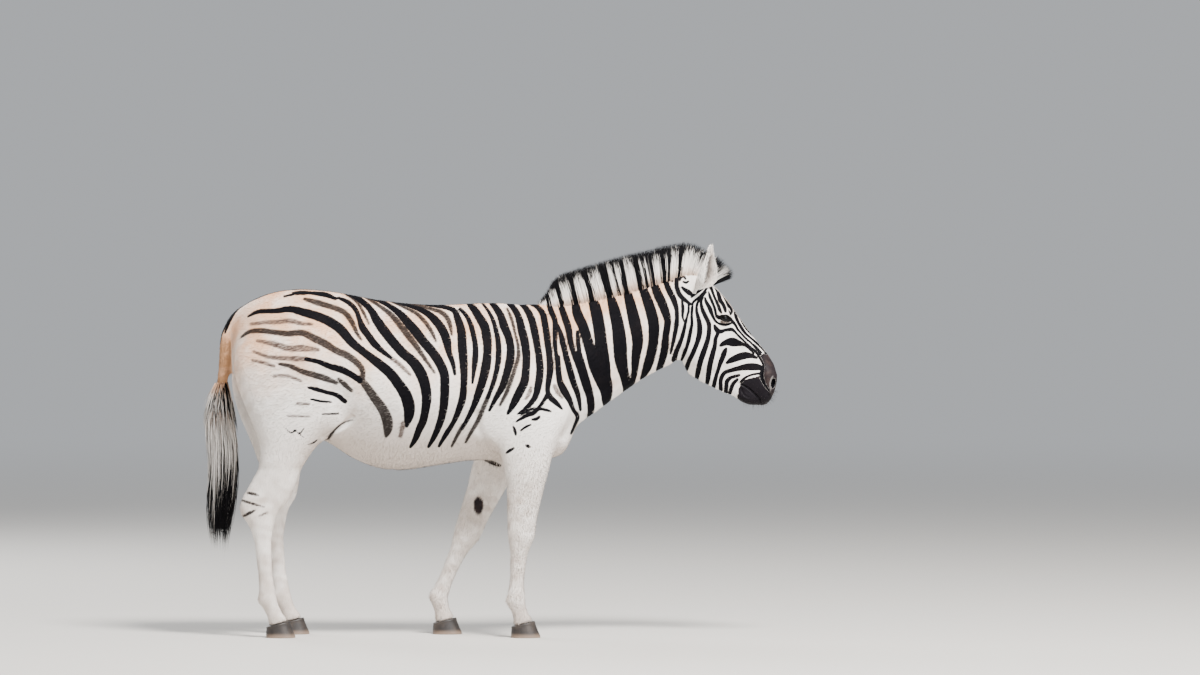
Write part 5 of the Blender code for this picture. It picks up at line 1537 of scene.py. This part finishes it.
def make_lids(name, centre, axes, material, hair_material):
    """The dark wet rim of both lids as one closed ring, with lashes on the upper one."""
    turn = np.linspace(0, 2 * math.pi, LID_POINTS, endpoint=False)
    s = np.cos(turn) * SLIT_HALF_LENGTH * 1.02
    t = slit_middle(s) + np.sign(np.sin(turn)) * slit_height(s) * np.abs(np.sin(turn)) ** 0.15
    middle, outward = on_ball(centre, axes, s, t, EYE_RADIUS + 0.0010)
    run = unit(np.roll(middle, -1, axis=0) - np.roll(middle, 1, axis=0))
    across = np.cross(outward, run)
    thick = np.where(np.sin(turn) > 0, UPPER_LID_RIM, LOWER_LID_RIM)[:, None, None]
    angle = (2 * math.pi * np.arange(LID_RING) / LID_RING)[:, None]
    round_it = outward[:, None] * np.cos(angle) + across[:, None] * np.sin(angle)
    places = (middle[:, None] + round_it * thick).reshape(-1, 3)
    quads = tube_quads(LID_POINTS, LID_RING, True)
    rim = make_object(f"eyelid_{name}", places, quads.ravel(), np.full(len(quads), 4), None, material)
    tidy_normals(rim)
    keep(rim)
    s = rng.uniform(-0.85, 0.92, LASHES) * SLIT_HALF_LENGTH
    roots, outward = on_ball(centre, axes, s, slit_middle(s) + slit_height(s), EYE_RADIUS + 0.0015)
    down = axes[1] * rng.uniform(-0.35, 0.15, (LASHES, 1)) + axes[0] * (s / SLIT_HALF_LENGTH * 0.5)[:, None]
    tips = roots + unit(outward + down) * rng.uniform(*LASH_LENGTH, (LASHES, 1))
    bends = np.tile(-axes[1] * 0.0012, (LASHES, 1))
    marks = even_marks(LASHES, black=0.01, tan=0, shade=1, tip=1)
    widths = np.full(LASHES, LASH_WIDTH)
    atlas = columns(0.5 + s * 20, 0.5)
    lashes = grow_locks(f"lashes_{name}", hair_material, roots, tips, bends, widths, 3, marks, atlas, 0.8)
    keep(lashes)


def make_whiskers(skin, unwrap, material):
    """Sparse stiff hairs on the lips and chin."""
    def on_lips(places):
        x, _, z = places.T
        return ((x > 1.01) & (z < 0.985) & (x + z > 1.94)).astype(float) + 1e-9

    roots, normals = scatter(skin.data, WHISKERS, on_lips)
    heading = normals + (0.35, 0.0, -0.55) + rng.normal(0, 0.15, roots.shape)
    tips = roots + unit(heading) * rng.uniform(*WHISKER_LENGTH, (WHISKERS, 1))
    bends = np.tile((0.0, 0.0, 0.0015), (WHISKERS, 1))
    marks = even_marks(WHISKERS, black=0.01, tan=0, shade=1.3, tip=1.5)
    widths = np.full(WHISKERS, WHISKER_WIDTH)
    starts = roots - normals * 0.001
    made = grow_locks("whiskers", material, starts, tips, bends, widths, 3, marks, unwrap.at(roots), 0.8)
    keep(made)


# ---------- hooves
def make_hooves(material):
    """Horn capsules with growth rings, a rolled upper edge and a flat sole."""
    rings = smooth_rows(HOOF_RINGS, 8)
    height = np.repeat(np.linspace(0, HOOF_HEIGHT, HOOF_LEVELS), HOOF_POINTS)
    turn = np.tile(np.arange(HOOF_POINTS) * 2 * math.pi / HOOF_POINTS, HOOF_LEVELS)
    toe, heel, half = (np.interp(height, rings[:, 0], rings[:, k]) for k in (1, 2, 3))
    fx, fy = np.cos(turn), np.sin(turn)
    up = height / HOOF_HEIGHT
    squared = (np.abs(fx) ** HOOF_SQUARENESS + np.abs(fy) ** HOOF_SQUARENESS) ** (-1 / HOOF_SQUARENESS)
    crown = 1 + HOOF_CROWN * np.exp(-(((height - HOOF_HEIGHT * 0.93) / 0.004) ** 2))
    above_sole = np.repeat(np.arange(HOOF_LEVELS) > 1, HOOF_POINTS)
    for node, (cx, cy) in HOOF_PLACES.items():
        growth = 1 + HOOF_GROWTH * np.sin(height * HOOF_RING_RATE + cx * 9) * above_sole
        wear = 1 + HOOF_WEAR * np.sin(5 * turn + cx * 20) * up
        scale = squared * growth * crown * wear
        places = columns(
            cx + fx * np.where(fx > 0, toe, heel) * scale,
            cy + fy * half * scale,
            height - HOOF_HEEL_DROP * (0.5 - 0.5 * fx) * up,
        )
        hoof = filled_tube(f"{node}_horn", places, HOOF_POINTS, None, material)
        keep(hoof)
        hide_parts(node)


# ---------- shaders
WHITE_HAIR = srgb(246, 240, 234)
# White of the painted cool shade low on the body.
COOL_SHADE_WHITE = srgb(234, 236, 244)
TAN_HAIR = srgb(232, 184, 148)
DOCK_HAIR = srgb(178, 134, 98)
BLACK_HAIR = srgb(8, 7, 11)
FADED_BLACK = srgb(26, 20, 20)
SHADOW_BROWN = srgb(27, 21, 20)
FAINT_GREY = srgb(76, 62, 57)
DARK_SKIN = srgb(36, 30, 32)
DARK_BROWN = srgb(53, 43, 41)
LIP_BLACK = srgb(21, 18, 22)
# Tint of dust, and of the painted shade under the belly and inside the ears.
DUST_AND_SHADE_TINT = srgb(158, 134, 116)
EYE_RIM = srgb(14, 9, 8)
EYE_BROWN = srgb(7, 5, 5)
EYE_PUPIL = srgb(4, 4, 5)
LID_BLACK = srgb(9, 8, 8)
HORN_DARK = srgb(38, 33, 31)
HORN_PALE = srgb(66, 57, 51)
HORN_FIBRE_COLOUR = srgb(26, 23, 22)
FLOOR_COLOUR = srgb(206, 202, 196)

COAT_MARKS = ["Black", "Brown", "Faint", "Tan", "Dark", "Dust_and_painted_shade", "Shade"]
LOCK_MARKS = ["Black", "Tan", "Shade", "Along", "Tip"]
HAIR_STREAK = (0.022, 0.004, 0.0028)  # size of the streaks in the coat
LIE_BACK = -16  # degrees that they slope where the hair runs back, and where it hangs down
LIE_DOWN = -80
STRIPE_FRAY = 0.0085  # how far the hairs carry a stripe's edge to and fro
HORN_FIBRE = (0.0022, 0.0022, 0.05)
BUMP_DISTANCE = 0.0006
BARE_SKIN_ROUGHNESS = 0.50


class Shader:
    """A short way to add nodes to a material or a group."""

    def __init__(self, tree):
        self.tree = tree

    def add(self, kind, **settings):
        node = self.tree.nodes.new("ShaderNode" + kind)
        for key, value in settings.items():
            setattr(node, key, value)
        return node

    def join(self, source, target):
        self.tree.links.new(source, target)

    def fill(self, socket, value):
        """Puts a number, a colour or another node's output into a socket."""
        if isinstance(value, tuple):
            socket.default_value = (*value, 1)
        elif isinstance(value, (int, float)):
            socket.default_value = value
        else:
            self.join(value, socket)

    def math(self, operation, *values):
        node = self.add("Math", operation=operation)
        for socket, value in zip(node.inputs, values):
            self.fill(socket, value)
        return node.outputs[0]

    def times(self, first, second):
        return self.math("MULTIPLY", first, second)

    def blend(self, share, first, second, mode="MIX"):
        node = self.add("Mix", data_type="RGBA", blend_type=mode)
        for number, value in ((0, share), (6, first), (7, second)):
            self.fill(node.inputs[number], value)
        return node.outputs[2]

    def darken(self, colour, value):
        """The colour times a grey value."""
        node = self.add("CombineColor")
        for socket in node.inputs:
            self.join(value, socket)
        return self.blend(1.0, colour, node.outputs["Color"], "MULTIPLY")

    def ramp(self, value, low, high, out_low=0.0, out_high=1.0, kind="SMOOTHSTEP"):
        node = self.add("MapRange", interpolation_type=kind, clamp=True)
        self.join(value, node.inputs["Value"])
        limits = {"From Min": low, "From Max": high, "To Min": out_low, "To Max": out_high}
        for label, number in limits.items():
            node.inputs[label].default_value = number
        return node.outputs["Result"]

    def marks(self, *names):
        return {name: self.add("Attribute", attribute_name=name.lower()).outputs["Fac"] for name in names}

    def place(self):
        return self.add("TexCoord").outputs["Object"]

    def noise(self, vector, scale, detail=3.0, roughness=0.55):
        node = self.add("TexNoise")
        self.join(vector, node.inputs["Vector"])
        for label, value in (("Scale", scale), ("Detail", detail), ("Roughness", roughness)):
            node.inputs[label].default_value = value
        return node.outputs["Fac"]

    def stretched(self, vector, turn, stretch):
        """Coordinates turned about Y and squeezed, so that noise on them runs in streaks."""
        node = self.add("Mapping", vector_type="TEXTURE")
        node.inputs["Rotation"].default_value = (0, math.radians(turn), 0)
        node.inputs["Scale"].default_value = stretch
        self.join(vector, node.inputs["Vector"])
        return node.outputs["Vector"]

    def use(self, tree, **links):
        node = self.add("Group", node_tree=tree)
        for label, source in links.items():
            self.join(source, node.inputs[label])
        return node.outputs


def new_group(name, inputs, outputs):
    """A node group with its inputs by name and the node that takes its outputs. All are numbers unless named
    here as a place or a colour."""
    tree = bpy.data.node_groups.new(name, "ShaderNodeTree")
    kinds = {"Place": "NodeSocketVector", "Colour": "NodeSocketColor"}
    for way, labels in (("INPUT", inputs), ("OUTPUT", outputs)):
        for label in labels:
            tree.interface.new_socket(label, in_out=way, socket_type=kinds.get(label, "NodeSocketFloat"))
    start, end = tree.nodes.new("NodeGroupInput"), tree.nodes.new("NodeGroupOutput")
    return tree, Shader(tree), {label: start.outputs[label] for label in inputs}, end


def hair_streaks():
    """Fine lie of the short hair: Streak is 0 to 1 along hairs, Blotch is a slow mottle."""
    tree, s, given, end = new_group("hair streaks", ["Place", "Lie"], ["Streak", "Blotch"])
    turned = (s.stretched(given["Place"], turn, HAIR_STREAK) for turn in (LIE_BACK, LIE_DOWN))
    back, down = (s.noise(place, 1.0, 3.0, 0.6) for place in turned)
    streak = s.math("ADD", s.times(back, s.math("SUBTRACT", 1.0, given["Lie"])), s.times(down, given["Lie"]))
    s.join(streak, end.inputs["Streak"])
    s.join(s.noise(given["Place"], 11.0, 4.0, 0.6), end.inputs["Blotch"])
    return tree


def coat_colour():
    """Colour of skin and coat alike from the marks, with hair-like edges to every stripe."""
    tree, s, given, end = new_group("coat colour", [*COAT_MARKS, "Streak", "Blotch"], ["Colour"])
    streak, blotch = given["Streak"], given["Blotch"]
    fray = s.times(s.math("SUBTRACT", streak, 0.5), STRIPE_FRAY)

    def inside(stripe, soft):
        return s.ramp(s.math("ADD", given[stripe], fray), -soft, soft)

    tan = s.times(given["Tan"], s.ramp(blotch, 0.25, 0.65, 0.55, 1.1))
    # Painted shade: below 0 the white turns cool.
    colour = s.blend(s.ramp(tan, 0.0, -0.9), WHITE_HAIR, COOL_SHADE_WHITE)
    colour = s.blend(s.ramp(tan, 0.0, 1.05), colour, TAN_HAIR)
    colour = s.blend(s.ramp(tan, 1.0, 1.7), colour, DOCK_HAIR)
    # Dust, and painted shade under the belly and inside the ears.
    colour = s.blend(s.times(given["Dust_and_painted_shade"], 0.55), colour, DUST_AND_SHADE_TINT)
    colour = s.darken(colour, s.ramp(streak, 0.25, 0.75, 0.90, 1.05))
    faint = s.times(inside("Faint", 0.0042), s.ramp(streak, 0.30, 0.60, 0.60, 1.0))
    colour = s.blend(faint, colour, FAINT_GREY)
    brown = s.times(inside("Brown", 0.0030), s.ramp(streak, 0.22, 0.50, 0.78, 0.98))
    colour = s.blend(brown, colour, SHADOW_BROWN)
    worn = s.times(s.ramp(blotch, 0.45, 0.75), s.ramp(streak, 0.3, 0.8))
    colour = s.blend(inside("Black", 0.0016), colour, s.blend(worn, BLACK_HAIR, FADED_BLACK))
    muzzle = s.blend(s.ramp(blotch, 0.48, 0.64), DARK_SKIN, DARK_BROWN)
    muzzle = s.blend(s.ramp(given["Dark"], 1.0, 1.8), muzzle, LIP_BLACK)
    shown = s.times(s.ramp(given["Dark"], 0.0, 1.0, kind="LINEAR"), s.ramp(given["Black"], 0.0010, -0.0010))
    colour = s.blend(shown, colour, muzzle)
    s.join(s.darken(colour, given["Shade"]), end.inputs["Colour"])
    return tree


def lock_colour():
    """Colour of the long hair from its root's marks and the share along it."""
    tree, s, given, end = new_group("lock colour", LOCK_MARKS, ["Colour"])
    along = given["Along"]
    pale = s.blend(s.times(given["Tan"], s.ramp(along, 0.50, 0.05)), WHITE_HAIR, TAN_HAIR)
    pale = s.blend(s.ramp(along, 0.45, 0.9, 0.0, 0.16), pale, FAINT_GREY)
    over_tip = s.ramp(s.math("SUBTRACT", along, given["Tip"]), -0.10, 0.02)
    dark = s.math("MAXIMUM", s.ramp(given["Black"], -0.0015, 0.0015), over_tip)
    s.join(s.darken(s.blend(dark, pale, BLACK_HAIR), given["Shade"]), end.inputs["Colour"])
    return tree


def new_material(name, **finish):
    """A material, a shader to add to it and its surface, which takes the finish by its inputs' names."""
    material = bpy.data.materials.new(name)
    material.use_nodes = True
    surface = material.node_tree.nodes["Principled BSDF"]
    shader = Shader(material.node_tree)
    for label, value in finish.items():
        shader.fill(surface.inputs[label.replace("_", " ")], value)
    return material, shader, surface


def bumped(shader, surface, height):
    bump = shader.add("Bump")
    bump.inputs["Distance"].default_value = BUMP_DISTANCE
    bump.inputs["Strength"].default_value = 1.0
    shader.join(height, bump.inputs["Height"])
    shader.join(bump.outputs["Normal"], surface.inputs["Normal"])


def make_coat_material(name, streaks, colours, roughness):
    material, s, surface = new_material(name, Specular_IOR_Level=0.07)
    marks = s.marks(*COAT_MARKS)
    hair = s.use(streaks, Place=s.place(), Lie=s.marks("Lie")["Lie"])
    colour = s.use(colours, Streak=hair["Streak"], Blotch=hair["Blotch"], **marks)
    s.join(colour["Colour"], surface.inputs["Base Color"])
    s.join(s.ramp(marks["Dark"], 0.0, 1.0, roughness, BARE_SKIN_ROUGHNESS), surface.inputs["Roughness"])
    return material, s, surface, hair["Streak"]


def make_hoof_material():
    material, s, surface = new_material("hoof horn", Roughness=0.48)
    place = s.place()
    fibre = s.noise(s.stretched(place, 0, HORN_FIBRE), 1.0, 3.0)
    colour = s.blend(s.ramp(s.noise(place, 28.0, 4.0), 0.35, 0.70), HORN_DARK, HORN_PALE)
    colour = s.blend(s.ramp(fibre, 0.30, 0.75, 0.0, 0.45), colour, HORN_FIBRE_COLOUR)
    rise = s.add("SeparateXYZ")
    s.join(place, rise.inputs[0])
    colour = s.blend(s.ramp(rise.outputs["Z"], 0.022, 0.002, 0.0, 0.60), colour, DUST_AND_SHADE_TINT)
    s.join(colour, surface.inputs["Base Color"])
    bumped(s, surface, fibre)
    return material


def make_floor_material():
    """Far out the floor takes the colour of the air behind it, so that no edge shows."""
    material, s, surface = new_material("pale floor", Roughness=0.85, Base_Color=FLOOR_COLOUR)
    air = s.add("Emission")
    s.fill(air.inputs["Color"], SKY_COLOUR)
    s.fill(air.inputs["Strength"], SKY_STRENGTH)
    reach = s.add("VectorMath", operation="LENGTH")
    s.join(s.place(), reach.inputs[0])
    blend = s.add("MixShader")
    s.join(s.ramp(reach.outputs["Value"], *FLOOR_FADE), blend.inputs[0])
    s.join(surface.outputs[0], blend.inputs[1])
    s.join(air.outputs[0], blend.inputs[2])
    s.join(blend.outputs[0], material.node_tree.nodes["Material Output"].inputs["Surface"])
    return material


def make_materials():
    streaks, colours, locks = hair_streaks(), coat_colour(), lock_colour()
    skin, s, surface, streak = make_coat_material("striped skin", streaks, colours, 0.74)
    bumped(s, surface, streak)
    made = {"striped skin": skin, "short coat": make_coat_material("short coat", streaks, colours, 0.70)[0]}
    for name, roughness in (("mane hair", 0.62), ("tail hair", 0.62), ("fine hair", 0.5)):
        made[name], s, surface = new_material(name, Roughness=roughness, Specular_IOR_Level=0.12)
        s.join(s.use(locks, **s.marks(*LOCK_MARKS))["Colour"], surface.inputs["Base Color"])
    made["eye"], s, surface = new_material(
        "eye", Roughness=0.06, Specular_IOR_Level=0.08, Coat_Weight=0.10, Coat_Roughness=0.02
    )
    front = s.marks("Front")["Front"]
    colour = s.blend(s.ramp(front, 0.60, 0.78), EYE_RIM, EYE_BROWN)
    colour = s.blend(s.ramp(front, 0.88, 0.93), colour, EYE_PUPIL)
    s.join(colour, surface.inputs["Base Color"])
    made["lid"] = new_material("dark lid", Roughness=0.38, Specular_IOR_Level=0.15, Base_Color=LID_BLACK)[0]
    made["hoof"], made["floor"] = make_hoof_material(), make_floor_material()
    return made


# ---------- the model
make_camera()
make_lights()
materials = make_materials()
make_floor(materials["floor"])

hide = keep(make_skin(materials["striped skin"]))
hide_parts(*FLESH_NODES)
unwrap = Unwrap(hide)
make_coat(hide, unwrap, materials["short coat"])
make_mane(materials["mane hair"])
make_forelock(materials["mane hair"])
make_tail(materials["tail hair"])
make_ears(materials["striped skin"], materials["short coat"])
make_eyes(materials["eye"], materials["lid"], materials["fine hair"])
make_whiskers(hide, unwrap, materials["fine hair"])
make_hooves(materials["hoof"])
